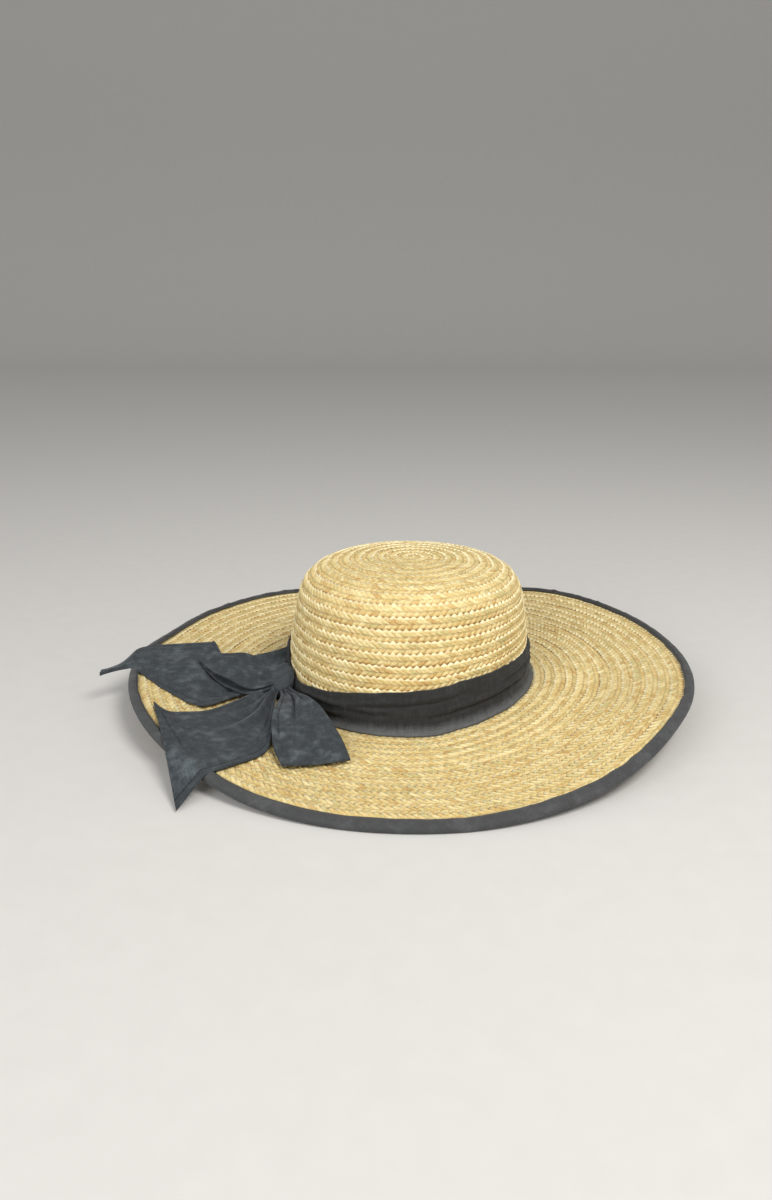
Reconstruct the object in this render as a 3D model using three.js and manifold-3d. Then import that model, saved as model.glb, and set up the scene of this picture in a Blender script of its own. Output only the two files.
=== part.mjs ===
import Module from "manifold-3d";
import * as THREE from "three";
import { mergeVertices } from "three/addons/utils/BufferGeometryUtils.js";

// Wide-brimmed hat of sewn straw braid with a cloth band, bow and edge binding.
// Millimetres, +Z up, the front toward -Y, the bow on the -X side.
// The hat lies on its brim. Heights are measured from the surface under it.

// Crown
const CROWN_WIDTH = 186;
const CROWN_DEPTH = 191;
const CROWN_TOP = 107;
const CROWN_WALL = 2.2;
const CROWN_OFFSET = -2;
const CROWN_LEAN = 3.5;
const CROWN_ROW = 8.8;

// Brim
const BRIM_RADIUS = 216;
const BRIM_WALL = 2;
const BRIM_ROW = 8.3;
const BRIM_LIFT = 28;
const FOOT_LIFT = 11;
const BRIM_DISH = 1.4;

// Braid rows stand proud by this much where one overlaps the next
const ROW_STEP = 0.8;
const ROW_EDGE = 0.9;

// Cloth
const CLOTH = 1.1;
const BINDING_WIDTH = 8;
const BAND_HEIGHT = 33;
const BAND_FLARE = 5;
const BAND_CREASE = 0.9;
const EDGE_DROOP = 0.45;

// Bow
const KNOT_ANGLE = -160;
const KNOT_WIDTH = 28;
const KNOT_HEIGHT = 17;
const KNOT_DEPTH = 16;
const KNOT_GATHER = 0.7;
const KNOT_CLEAR = 0.05;
const TAIL_REACH = 138.5;
const TAIL_SPREAD = 80;
const LOWER_TAIL_REACH = 160;
const LOOP_REACH = 120;
const UPPER_LOOP_REACH = 64;
const LOOP_SPREAD = 44;
const BOW_PUFF = 20;
const PLEAT = 1.4;
const PLEATS = 2;

// Gap between neighbouring pieces
const GAP = 0.3;

// Facets
const CROWN_SIDES = 40;
const CROWN_INNER_STEPS = 8;
const BRIM_SIDES = 60;
const BRIM_UNDER_STEPS = 3;
const TAIL_STEPS = 12;
const LOOP_STEPS = 14;
const CLOTH_STEPS = 5;

// Height of the brim around the hat: angle in degrees from +X, the outer edge as a share of
// BRIM_LIFT, and the foot of the crown as a share of FOOT_LIFT.
const WAVE = [
  { angle: -180, edge: 0.8, foot: 0.6 },
  { angle: -157, edge: 0.74, foot: 0.4 },
  { angle: -142, edge: 0.58, foot: 0.15 },
  { angle: -128, edge: 0.32, foot: 0.0 },
  { angle: -117, edge: 0.1, foot: 0.0 },
  { angle: -102, edge: 0.0, foot: 0.0 },
  { angle: -82, edge: 0.0, foot: 0.0 },
  { angle: -68, edge: 0.14, foot: 0.3 },
  { angle: -56, edge: 0.31, foot: 0.5 },
  { angle: -46, edge: 0.55, foot: 0.65 },
  { angle: -34, edge: 0.83, foot: 0.8 },
  { angle: -16, edge: 0.88, foot: 0.95 },
  { angle: 6, edge: 0.9, foot: 1.0 },
  { angle: 24, edge: 0.95, foot: 0.92 },
  { angle: 42, edge: 0.95, foot: 0.7 },
  { angle: 56, edge: 0.8, foot: 0.45 },
  { angle: 70, edge: 0.3, foot: 0.15 },
  { angle: 82, edge: 0.0, foot: 0.0 },
  { angle: 98, edge: 0.0, foot: 0.0 },
  { angle: 110, edge: 0.3, foot: 0.15 },
  { angle: 121, edge: 0.66, foot: 0.35 },
  { angle: 148, edge: 0.71, foot: 0.5 },
  { angle: 164, edge: 0.64, foot: 0.6 },
];

// Smooth outline of the crown: distance from its axis as a share of the half width, and height
// as a share of CROWN_TOP.
const CROWN_SHAPE = [
  { out: 1.005, up: 0.0 },
  { out: 1.0, up: 0.16 },
  { out: 0.992, up: 0.34 },
  { out: 0.966, up: 0.55 },
  { out: 0.932, up: 0.72 },
  { out: 0.905, up: 0.81 },
  { out: 0.85, up: 0.885 },
  { out: 0.77, up: 0.934 },
  { out: 0.65, up: 0.966 },
  { out: 0.45, up: 0.989 },
  { out: 0.22, up: 0.998 },
  { out: 0.0, up: 1.0 },
];

// Upper edge of the band as a share of BAND_HEIGHT above the brim: it is gathered at the knot.
const BAND_TOP = [
  { angle: -180, top: 0.9 },
  { angle: -170, top: 0.72 },
  { angle: -160, top: 0.5 },
  { angle: -150, top: 0.46 },
  { angle: -137, top: 0.62 },
  { angle: -120, top: 0.76 },
  { angle: -100, top: 0.92 },
  { angle: -70, top: 1.0 },
  { angle: -30, top: 0.9 },
  { angle: 0, top: 0.84 },
  { angle: 60, top: 0.9 },
  { angle: 120, top: 0.95 },
];

// Outer face of the band from its lower edge to its upper edge: height share and how far it
// stands out, in shares of BAND_FLARE and of BAND_CREASE.
const BAND_SECTION = [
  { up: 0.0, flare: 1.0, crease: 0.0 },
  { up: 0.12, flare: 0.3, crease: 0.0 },
  { up: 0.24, flare: 0.0, crease: 0.2 },
  { up: 0.42, flare: 0.0, crease: 1.0 },
  { up: 0.6, flare: 0.0, crease: 0.1 },
  { up: 0.82, flare: 0.0, crease: 0.8 },
  { up: 1.0, flare: 0.0, crease: 0.0 },
];

// Bow pieces, from the knot outward. Both edges are given in plan from the centre of the knot,
// in shares of the piece's reach (x) and spread (y), and by their lift above the brim in shares
// of BOW_PUFF. Edge a is toward the front, edge b toward the back or the crown.
const UPPER_TAIL = [
  { ax: 0.0, ay: -0.05, al: 0.5, bx: 0.0, by: 0.08, bl: 0.52 },
  { ax: -0.21, ay: -0.32, al: 0.28, bx: -0.23, by: 0.15, bl: 0.5 },
  { ax: -0.34, ay: -0.56, al: 0.2, bx: -0.37, by: 0.34, bl: 0.66 },
  { ax: -0.45, ay: -0.5, al: 0.17, bx: -0.415, by: 0.53, bl: 0.98 },
  { ax: -0.61, ay: -0.28, al: 0.17, bx: -0.61, by: 0.45, bl: 0.8 },
  { ax: -0.81, ay: 0.04, al: 0.2, bx: -0.8, by: 0.4, bl: 0.5 },
  { ax: -0.88, ay: 0.07, al: 0.3, bx: -0.89, by: 0.17, bl: 0.4 },
  { ax: -0.985, ay: -0.04, al: 0.62, bx: -0.985, by: 0.02, bl: 0.66 },
];
const LOWER_TAIL = [
  { ax: 0.01, ay: -0.1, al: 0.42, bx: -0.01, by: -0.04, bl: 0.44 },
  { ax: -0.01, ay: -0.38, al: 0.4, bx: -0.075, by: -0.26, bl: 0.46 },
  { ax: 0.006, ay: -0.92, al: 0.36, bx: -0.16, by: -0.49, bl: 0.3 },
  { ax: 0.006, ay: -1.24, al: 0.18, bx: -0.29, by: -0.7, bl: 0.18 },
  { ax: -0.09, ay: -1.52, al: 0.22, bx: -0.36, by: -0.775, bl: 0.2 },
  { ax: -0.19, ay: -1.74, al: 0.23, bx: -0.44, by: -0.81, bl: 0.22 },
  { ax: -0.28, ay: -1.97, al: 0.16, bx: -0.52, by: -0.72, bl: 0.28 },
];
const UPPER_LOOP = [
  { ax: 0.0, ay: -0.12, al: 0.82, bx: -0.01, by: 0.62, bl: 1.2, open: 0.1 },
  { ax: -0.28, ay: -0.4, al: 0.82, bx: -0.26, by: 0.3, bl: 1.3, open: 0.22 },
  { ax: -0.55, ay: -0.45, al: 0.84, bx: -0.5, by: 0.22, bl: 1.4, open: 0.4 },
  { ax: -0.8, ay: -0.25, al: 0.84, bx: -0.74, by: 0.26, bl: 1.3, open: 0.3 },
  { ax: -1.0, ay: 0.12, al: 0.92, bx: -0.9, by: 0.3, bl: 1.25, open: 0.14 },
];
const LOWER_LOOP = [
  { ax: 0.0, ay: -0.12, al: 0.66, bx: 0.045, by: -0.16, bl: 0.72, open: 0.1 },
  { ax: 0.045, ay: -0.72, al: 0.82, bx: 0.21, by: -0.95, bl: 1.1, open: 0.3 },
  { ax: 0.025, ay: -1.5, al: 0.78, bx: 0.32, by: -1.4, bl: 1.0, open: 0.4 },
  { ax: 0.058, ay: -2.16, al: 0.62, bx: 0.43, by: -1.94, bl: 0.7, open: 0.3 },
  { ax: 0.125, ay: -2.66, al: 0.4, bx: 0.49, by: -2.42, bl: 0.42, open: 0.12 },
];

const STRAW = { color: 0xdcbc7c, roughness: 0.62, metalness: 0 };
const CHARCOAL = { color: 0x44474b, roughness: 0.9, metalness: 0 };

const HALF_WIDTH = CROWN_WIDTH / 2;
const HALF_DEPTH = CROWN_DEPTH / 2;
// The middle of the brim's wall lies this high where its binding touches the surface below
const REST = CLOTH + GAP + BRIM_WALL / 2;
const BRIM_TOP = BRIM_WALL / 2;
const SHOULDER = CROWN_SHAPE[5].up * CROWN_TOP;
// Ring sections are drawn this far from the axis, as a lathe needs, and then moved to the hat
const DRUM = 1;

function radians(degrees) {
  return (degrees * Math.PI) / 180;
}

function mix(a, b, share) {
  return a + (b - a) * share;
}

function clamp(value, low, high) {
  return Math.min(Math.max(value, low), high);
}

// Hermite curve between two values with their slopes over the span
function hermite(y1, y2, m1, m2, t) {
  const t2 = t * t;
  const t3 = t2 * t;
  return (2 * t3 - 3 * t2 + 1) * y1 + (t3 - 2 * t2 + t) * m1 + (3 * t2 - 2 * t3) * y2 + (t3 - t2) * m2;
}

// Smooth value of a column of a table whose rows go once around the hat
function around(rows, column, angle) {
  const turned = ((((angle + 180) % 360) + 360) % 360) - 180;
  const row = (k) => {
    const turn = Math.floor(k / rows.length);
    const found = rows[k - turn * rows.length];
    return { x: found.angle + 360 * turn, y: found[column] };
  };
  let i = rows.length - 1;
  while (rows[i].angle > turned) i -= 1;
  const [p0, p1, p2, p3] = [row(i - 1), row(i), row(i + 1), row(i + 2)];
  const span = p2.x - p1.x;
  const m1 = ((p2.y - p0.y) / (p2.x - p0.x)) * span;
  const m2 = ((p3.y - p1.y) / (p3.x - p1.x)) * span;
  return hermite(p1.y, p2.y, m1, m2, (turned - p1.x) / span);
}

// Smooth value of a column of a table whose rows are evenly spaced from 0 to 1
function along(rows, column, share) {
  const last = rows.length - 1;
  const i = clamp(Math.floor(share * last), 0, last - 1);
  const at = (k) => rows[clamp(k, 0, last)][column];
  const m1 = (at(i + 1) - at(i - 1)) / 2;
  const m2 = (at(i + 2) - at(i)) / 2;
  return hermite(at(i), at(i + 1), m1, m2, share * last - i);
}

// Radius of the crown's oval at an angle, for an oval whose half width is given
function ovalRadius(angle, halfWidth) {
  const depth = (halfWidth * HALF_DEPTH) / HALF_WIDTH;
  return 1 / Math.hypot(Math.cos(angle) / halfWidth, Math.sin(angle) / depth);
}

function footHeight(angle) {
  return REST + FOOT_LIFT * Math.max(around(WAVE, "foot", THREE.MathUtils.radToDeg(angle)), 0);
}

function edgeHeight(angle) {
  return REST + BRIM_LIFT * Math.max(around(WAVE, "edge", THREE.MathUtils.radToDeg(angle)), 0);
}

// A point of the brim: share 0 at the foot of the crown, 1 at the outer edge, rise above the
// middle of the wall. The brim passes from the crown's oval to a circle.
function brimPoint(angle, share, rise) {
  const radius = mix(ovalRadius(angle, HALF_WIDTH), BRIM_RADIUS, share);
  const flat = clamp(share, 0, 1);
  const middle = mix(footHeight(angle), edgeHeight(angle), flat ** BRIM_DISH);
  return new THREE.Vector3(
    CROWN_OFFSET * (1 - flat) + radius * Math.cos(angle),
    radius * Math.sin(angle),
    middle + rise,
  );
}

// Angle and share of the brim under a point in plan, and the height of its wall's middle there
function brimUnder(x, y) {
  let share = 0.5;
  let angle = 0;
  for (let pass = 0; pass < 12; pass += 1) {
    const fromAxis = x - CROWN_OFFSET * (1 - clamp(share, 0, 1));
    angle = Math.atan2(y, fromAxis);
    const foot = ovalRadius(angle, HALF_WIDTH);
    share = (Math.hypot(fromAxis, y) - foot) / (BRIM_RADIUS - foot);
  }
  const height = brimPoint(angle, share, 0).z;
  const beyond = Math.max(share - 1, 0) * (BRIM_RADIUS - HALF_WIDTH);
  return height - beyond * EDGE_DROOP;
}

// A point of the crown from its upright section: distance out and height before it settles on
// the wavy brim and leans
function crownPoint(angle, out, height) {
  const settle = 1 - clamp(height / SHOULDER, 0, 1);
  const z = height + (footHeight(angle) + BRIM_TOP + GAP) * settle;
  const lean = CROWN_OFFSET + (CROWN_LEAN * z) / CROWN_TOP;
  const radius = ovalRadius(angle, out);
  return new THREE.Vector3(lean + radius * Math.cos(angle), radius * Math.sin(angle), z);
}

function outlineOfCrown() {
  const points = CROWN_SHAPE.map(
    ({ out, up }) => new THREE.Vector3(out * HALF_WIDTH, up * CROWN_TOP, 0),
  );
  return new THREE.CatmullRomCurve3(points, false, "centripetal");
}

const crownOutline = outlineOfCrown();

// A station along the crown's outline from foot to tip, with the outward direction there
function crownStation(share) {
  const point = crownOutline.getPointAt(share);
  const tangent = crownOutline.getTangentAt(share);
  return { point, outward: new THREE.Vector3(tangent.y, -tangent.x, 0) };
}

// Half width of the crown at a height in its upright section, below the shoulder
function wallAt(height) {
  let low = 0;
  let high = 1;
  for (let pass = 0; pass < 20; pass += 1) {
    const share = (low + high) / 2;
    if (crownOutline.getPoint(share).y < height) low = share;
    else high = share;
  }
  return crownOutline.getPoint(low).x;
}

// Moves every vertex of a geometry by a function of its place
function reshape(geometry, place) {
  const position = geometry.attributes.position;
  const vertex = new THREE.Vector3();
  for (let i = 0; i < position.count; i += 1) {
    vertex.fromBufferAttribute(position, i);
    const moved = place(vertex);
    position.setXYZ(i, moved.x, moved.y, moved.z);
  }
  geometry.computeVertexNormals();
  return geometry;
}

// Turns a section around +Z; place gets the angle, the distance out and the height
function turned(section, sides, place) {
  const geometry = new THREE.LatheGeometry(section, sides);
  geometry.rotateX(Math.PI / 2);
  return reshape(geometry, (v) => place(Math.atan2(v.y, v.x), Math.hypot(v.x, v.y), v.z));
}

// Turns a closed section of pairs, out and up, counterclockwise, that is drawn from the drum
function ring(pairs, sides, place) {
  const section = [...pairs, pairs[0]].map(([out, up]) => new THREE.Vector2(DRUM + out, up));
  return turned(section, sides, (angle, out, up) => place(angle, out - DRUM, up));
}

function crownGeometry() {
  const rows = Math.round(crownOutline.getLength() / CROWN_ROW);
  const section = [];
  // Inner face, plain, from the tip down to the foot
  for (let i = CROWN_INNER_STEPS; i >= 0; i -= 1) {
    const { point, outward } = crownStation(i / CROWN_INNER_STEPS);
    const out = i === CROWN_INNER_STEPS ? 0 : point.x - outward.x * CROWN_WALL;
    const up = i === 0 ? 0 : point.y - outward.y * CROWN_WALL;
    section.push(new THREE.Vector2(out, up));
  }
  // Outer face from the foot up: each row's upper edge lies over the row above it
  for (let row = 0; row < rows; row += 1) {
    const low = crownStation(row / rows).point;
    const high = crownStation((row + 1 - ROW_EDGE / CROWN_ROW) / rows);
    const edge = high.point.clone().addScaledVector(high.outward, ROW_STEP);
    section.push(new THREE.Vector2(low.x, low.y), new THREE.Vector2(edge.x, edge.y));
  }
  section.push(new THREE.Vector2(0, CROWN_TOP));
  return turned(section, CROWN_SIDES, crownPoint);
}

function brimGeometry() {
  const width = BRIM_RADIUS - HALF_WIDTH;
  const inner = -CROWN_WALL / width;
  const bound = 1 - (BINDING_WIDTH + GAP) / width;
  const start = (ROW_STEP + GAP) / width;
  const rows = Math.round(((bound - start) * width) / BRIM_ROW);
  const section = [];
  for (let i = 0; i <= BRIM_UNDER_STEPS; i += 1) {
    section.push([mix(inner, 1, i / BRIM_UNDER_STEPS), -BRIM_TOP]);
  }
  section.push([1, BRIM_TOP], [bound, BRIM_TOP]);
  // Top face from the binding inward: each row's inner edge lies over the row inside it
  for (let row = rows; row > 0; row -= 1) {
    const over = mix(start, bound, (row - 1 + ROW_EDGE / BRIM_ROW) / rows);
    if (row < rows) section.push([mix(start, bound, row / rows), BRIM_TOP]);
    section.push([over, BRIM_TOP + ROW_STEP]);
  }
  section.push([start, BRIM_TOP], [inner, BRIM_TOP]);
  return ring(section, BRIM_SIDES, brimPoint);
}

function bindingGeometry() {
  const width = BRIM_RADIUS - HALF_WIDTH;
  const inside = BRIM_WALL / 2 + GAP;
  const outside = inside + CLOTH;
  const lip = 1 - BINDING_WIDTH / width;
  const seat = 1 + GAP / width;
  const nose = 1 + (GAP + CLOTH) / width;
  const section = [
    [lip, -outside],
    [seat, -outside],
    [nose, 0],
    [seat, outside],
    [lip, outside],
    [lip, inside],
    [seat, inside],
    [seat, -inside],
    [lip, -inside],
  ];
  return ring(section, BRIM_SIDES, brimPoint);
}

// Height of the band's upper edge above its lower edge
function bandHeight(angle) {
  return BAND_HEIGHT * around(BAND_TOP, "top", THREE.MathUtils.radToDeg(angle));
}

// A point of the band: how far it stands out from the crown's wall, and its share of the height
function bandPoint(angle, stand, up) {
  const seat = footHeight(angle) + BRIM_TOP + ROW_STEP + GAP;
  const z = seat + bandHeight(angle) * up;
  const settled = footHeight(angle) + BRIM_TOP + GAP;
  const height = (z - settled) / (1 - settled / SHOULDER);
  const radius = ovalRadius(angle, wallAt(height)) + stand;
  const lean = CROWN_OFFSET + (CROWN_LEAN * z) / CROWN_TOP;
  return new THREE.Vector3(lean + radius * Math.cos(angle), radius * Math.sin(angle), z);
}

function bandGeometry() {
  const clear = ROW_STEP + GAP;
  const standOut = ({ flare, crease }) => clear + BAND_FLARE * flare + BAND_CREASE * crease;
  const outer = BAND_SECTION.map((row) => [standOut(row) + CLOTH, row.up]);
  const inner = BAND_SECTION.filter(({ crease }) => crease === 0).map((row) => [standOut(row), row.up]);
  return ring([...outer, ...inner.reverse()], CROWN_SIDES, bandPoint);
}

// Centre of the knot, against the band and just above the brim
function knotCentre() {
  const angle = radians(KNOT_ANGLE);
  const stand = ROW_STEP + GAP + CLOTH + BAND_CREASE + GAP + KNOT_DEPTH / 2;
  const bandFoot = bandPoint(angle, stand, 0);
  const z = bandFoot.z + FOOT_LIFT * KNOT_CLEAR + KNOT_HEIGHT / 2;
  return new THREE.Vector3(bandFoot.x, bandFoot.y, z);
}

// Wrapped cloth knot, grown by a margin: a rounded cushion with gathers running around it
function knotGeometry(margin) {
  const geometry = new THREE.SphereGeometry(1, 20, 8);
  geometry.rotateX(Math.PI / 2);
  const centre = knotCentre();
  const turn = radians(KNOT_ANGLE);
  const roundness = 0.7;
  return reshape(geometry, (v) => {
    const squared = (n) => Math.sign(n) * Math.abs(n) ** roundness;
    const gather = 1 - (KNOT_GATHER * (1 + Math.cos(6 * Math.PI * v.z))) / KNOT_DEPTH;
    const local = new THREE.Vector3(
      squared(v.x) * (gather * KNOT_DEPTH * 0.5 + margin),
      squared(v.y) * (KNOT_WIDTH * 0.5 + margin),
      squared(v.z) * (KNOT_HEIGHT * 0.5 + margin),
    );
    return local.applyAxisAngle(new THREE.Vector3(0, 0, 1), turn).add(centre);
  });
}

// Closed cloth wall over a surface given by two shares, with its thickness across it
function cloth(surface, lengthSteps, widthSteps) {
  const geometry = new THREE.BoxGeometry(1, 1, 1, lengthSteps, widthSteps, 1);
  const step = 1e-3;
  return reshape(geometry, (v) => {
    const s = v.x + 0.5;
    const t = v.y + 0.5;
    const ds = surface(Math.min(s + step, 1), t).sub(surface(Math.max(s - step, 0), t));
    const dt = surface(s, Math.min(t + step, 1)).sub(surface(s, Math.max(t - step, 0)));
    const normal = ds.cross(dt).normalize();
    return surface(s, t).addScaledVector(normal, v.z * CLOTH);
  });
}

// A point of a bow piece laid over the brim: share s along it from the knot, t from edge a to b
function bowPoint(rows, s, t, reach, spread, extraLift) {
  const knot = knotCentre();
  const ax = along(rows, "ax", s) * reach;
  const ay = along(rows, "ay", s) * spread;
  const bx = along(rows, "bx", s) * reach;
  const by = along(rows, "by", s) * spread;
  const x = knot.x + mix(ax, bx, t);
  const y = knot.y + mix(ay, by, t);
  const lift = mix(along(rows, "al", s), along(rows, "bl", s), t) * BOW_PUFF + extraLift;
  return new THREE.Vector3(x, y, brimUnder(x, y) + lift);
}

function pleat(s, t) {
  return PLEAT * Math.cos(2 * Math.PI * PLEATS * t) * (1 - s) ** 2;
}

function tailGeometry(rows, reach) {
  const surface = (s, t) => bowPoint(rows, s, t, reach, TAIL_SPREAD, pleat(s, t));
  return cloth(surface, TAIL_STEPS, CLOTH_STEPS);
}

// A loop goes out from the knot, folds back and returns under itself
function loopGeometry(rows, reach) {
  const surface = (s, t) => {
    const there = Math.sin(Math.PI * s);
    const side = Math.cos(Math.PI * s);
    const open = along(rows, "open", there) * BOW_PUFF;
    const lift = open * (side - 1) * 0.5 + pleat(there, t);
    return bowPoint(rows, there, t, reach, LOOP_SPREAD, lift);
  };
  return cloth(surface, LOOP_STEPS, CLOTH_STEPS);
}

function solidOf(geometry) {
  const bare = geometry.clone();
  bare.deleteAttribute("normal");
  bare.deleteAttribute("uv");
  const merged = mergeVertices(bare);
  const vertProperties = new Float32Array(merged.attributes.position.array);
  const triVerts = new Uint32Array(merged.index.array);
  return new wasm.Manifold(new wasm.Mesh({ numProp: 3, vertProperties, triVerts }));
}

// The cloth that comes out of the knot ends at its surface
function cutAtKnot(geometry) {
  const { vertProperties, triVerts } = solidOf(geometry).subtract(solidOf(knotGeometry(GAP))).getMesh();
  const cut = new THREE.BufferGeometry();
  cut.setAttribute("position", new THREE.BufferAttribute(vertProperties, 3));
  cut.setIndex(new THREE.BufferAttribute(triVerts, 1));
  cut.computeVertexNormals();
  return cut;
}

function piece(name, geometry, finish) {
  const mesh = new THREE.Mesh(geometry, new THREE.MeshStandardMaterial(finish));
  mesh.name = name;
  return mesh;
}

const wasm = await Module();
wasm.setup();

const hat = new THREE.Group();
hat.add(piece("crown", crownGeometry(), STRAW));
hat.add(piece("brim", brimGeometry(), STRAW));
hat.add(piece("brim_binding", bindingGeometry(), CHARCOAL));
hat.add(piece("hat_band", bandGeometry(), CHARCOAL));
hat.add(piece("bow_knot", knotGeometry(0), CHARCOAL));
const BOW = {
  bow_loop_upper: loopGeometry(UPPER_LOOP, UPPER_LOOP_REACH),
  bow_loop_lower: loopGeometry(LOWER_LOOP, LOOP_REACH),
  bow_tail_upper: tailGeometry(UPPER_TAIL, TAIL_REACH),
  bow_tail_lower: tailGeometry(LOWER_TAIL, LOWER_TAIL_REACH),
};
for (const [name, geometry] of Object.entries(BOW)) {
  hat.add(piece(name, cutAtKnot(geometry), CHARCOAL));
}

// The origin is under the middle of the whole hat, on the surface that it lies on
const box = new THREE.Box3().setFromObject(hat);
const middle = box.getCenter(new THREE.Vector3());
hat.position.set(-middle.x, -middle.y, -box.min.z);
hat.updateMatrixWorld(true);

export default hat;
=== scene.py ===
"""Wide-brimmed straw hat with a cloth bow: the fine surface of every piece, in metres.

The hat's front faces -Y, its bow is on the -X side and it lies on the plane z = 0.
"""

import logging
import math
from collections.abc import Callable
from dataclasses import dataclass, field, replace
from enum import Enum

import bmesh
import bpy
import numpy as np
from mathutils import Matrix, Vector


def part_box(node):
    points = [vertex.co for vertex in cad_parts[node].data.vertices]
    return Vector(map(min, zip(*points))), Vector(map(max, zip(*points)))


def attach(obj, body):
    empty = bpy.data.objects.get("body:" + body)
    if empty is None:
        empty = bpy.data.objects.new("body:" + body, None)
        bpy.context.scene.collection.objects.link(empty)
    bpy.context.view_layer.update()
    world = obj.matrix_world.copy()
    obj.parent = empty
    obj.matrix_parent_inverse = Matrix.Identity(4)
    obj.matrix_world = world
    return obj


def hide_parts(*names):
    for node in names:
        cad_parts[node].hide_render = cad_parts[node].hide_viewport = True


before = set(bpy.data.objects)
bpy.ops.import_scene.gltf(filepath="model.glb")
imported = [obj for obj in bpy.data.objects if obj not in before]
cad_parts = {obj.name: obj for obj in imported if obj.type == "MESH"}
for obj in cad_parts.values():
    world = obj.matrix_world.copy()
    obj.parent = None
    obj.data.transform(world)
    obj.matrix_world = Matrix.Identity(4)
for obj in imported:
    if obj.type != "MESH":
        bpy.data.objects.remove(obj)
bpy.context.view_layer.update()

BODY = "root"
UV_NAME = "fabric"
MILLIMETRE = 0.001
log = logging.getLogger("hat")

Array = np.ndarray
Rows = list[dict[str, float]]
Triple = tuple[float, float, float]


class Slot(Enum):
    """Material slots of the record."""

    STRAW = "straw"
    BAND = "band_cloth"
    BINDING = "binding_cloth"


class Held(Enum):
    """How a sheet of cloth is held."""

    DRAPED = "draped"
    FOLDED = "folded"
    STRETCHED = "stretched"


def table(columns: str, *rows: tuple[float, ...]) -> Rows:
    """A table with named columns.

    Args:
        columns: Names of the columns, with spaces between them.
        rows: The values of each row in the same order.

    Returns:
        The rows, with a value for each name.
    """
    names = columns.split()
    return [dict(zip(names, row, strict=True)) for row in rows]


# Height of the brim around the hat: angle in degrees from +X, outer edge and foot of the crown
# as shares of the two lifts
WAVE = table(
    "angle edge foot",
    (-180, 0.8, 0.6),
    (-157, 0.74, 0.4),
    (-142, 0.58, 0.15),
    (-128, 0.32, 0.0),
    (-117, 0.1, 0.0),
    (-102, 0.0, 0.0),
    (-82, 0.0, 0.0),
    (-68, 0.14, 0.3),
    (-56, 0.31, 0.5),
    (-46, 0.55, 0.65),
    (-34, 0.83, 0.8),
    (-16, 0.88, 0.95),
    (6, 0.9, 1.0),
    (24, 0.95, 0.92),
    (42, 0.95, 0.7),
    (56, 0.8, 0.45),
    (70, 0.3, 0.15),
    (82, 0.0, 0.0),
    (98, 0.0, 0.0),
    (110, 0.3, 0.15),
    (121, 0.66, 0.35),
    (148, 0.71, 0.5),
    (164, 0.64, 0.6),
)

# Share of the binding's width that is turned over the brim's upper face; the rest is below
BINDING_SHOWN = table(
    "angle share",
    (-180, 0.72),
    (-150, 0.76),
    (-126, 0.88),
    (-108, 1.0),
    (-72, 1.0),
    (-46, 0.9),
    (-24, 0.72),
    (4, 0.62),
    (60, 0.58),
    (120, 0.62),
)

# Crown's outline: distance from its axis as a share of the half width, height as a share
CROWN_SHAPE = table(
    "out up",
    (1.005, 0.0),
    (1.0, 0.16),
    (0.992, 0.34),
    (0.966, 0.55),
    (0.932, 0.72),
    (0.905, 0.81),
    (0.85, 0.885),
    (0.77, 0.934),
    (0.65, 0.966),
    (0.45, 0.989),
    (0.22, 0.998),
    (0.0, 1.0),
)
SHOULDER_ROW = 5

# Upper edge of the band as a share of its height: it is gathered at the knot
BAND_TOP = table(
    "angle top",
    (-180, 0.9),
    (-170, 0.72),
    (-160, 0.5),
    (-150, 0.46),
    (-137, 0.62),
    (-120, 0.76),
    (-100, 0.92),
    (-70, 1.0),
    (-30, 0.9),
    (0, 0.84),
    (60, 0.9),
    (120, 0.95),
)

# Lengthwise creases of the band: the angles that one runs between, its height share at both
# ends and its depth in millimetres
BAND_CREASES = table(
    "start end up1 up2 deep",
    (-152, -96, 0.7, 0.42, 2.25),
    (-150, -118, 0.4, 0.26, 1.8),
    (-128, -60, 0.6, 0.74, 1.35),
    (-92, 8, 0.34, 0.5, 1.95),
    (-58, 34, 0.66, 0.8, 1.5),
    (20, 96, 0.5, 0.36, 1.65),
    (66, 150, 0.76, 0.62, 1.35),
    (118, 196, 0.38, 0.56, 2.1),
    (160, 200, 0.72, 0.7, 1.65),
)

# Middle line of the plait, in turns from its inner edge
MIDDLE = 0.6

# Width of the strip that both of the bow's ends are cut from
END_WIDTH = 0.06

# Cut of a cloth that is stitched along its first edge only
ONE_HEM = 1.0

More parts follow.
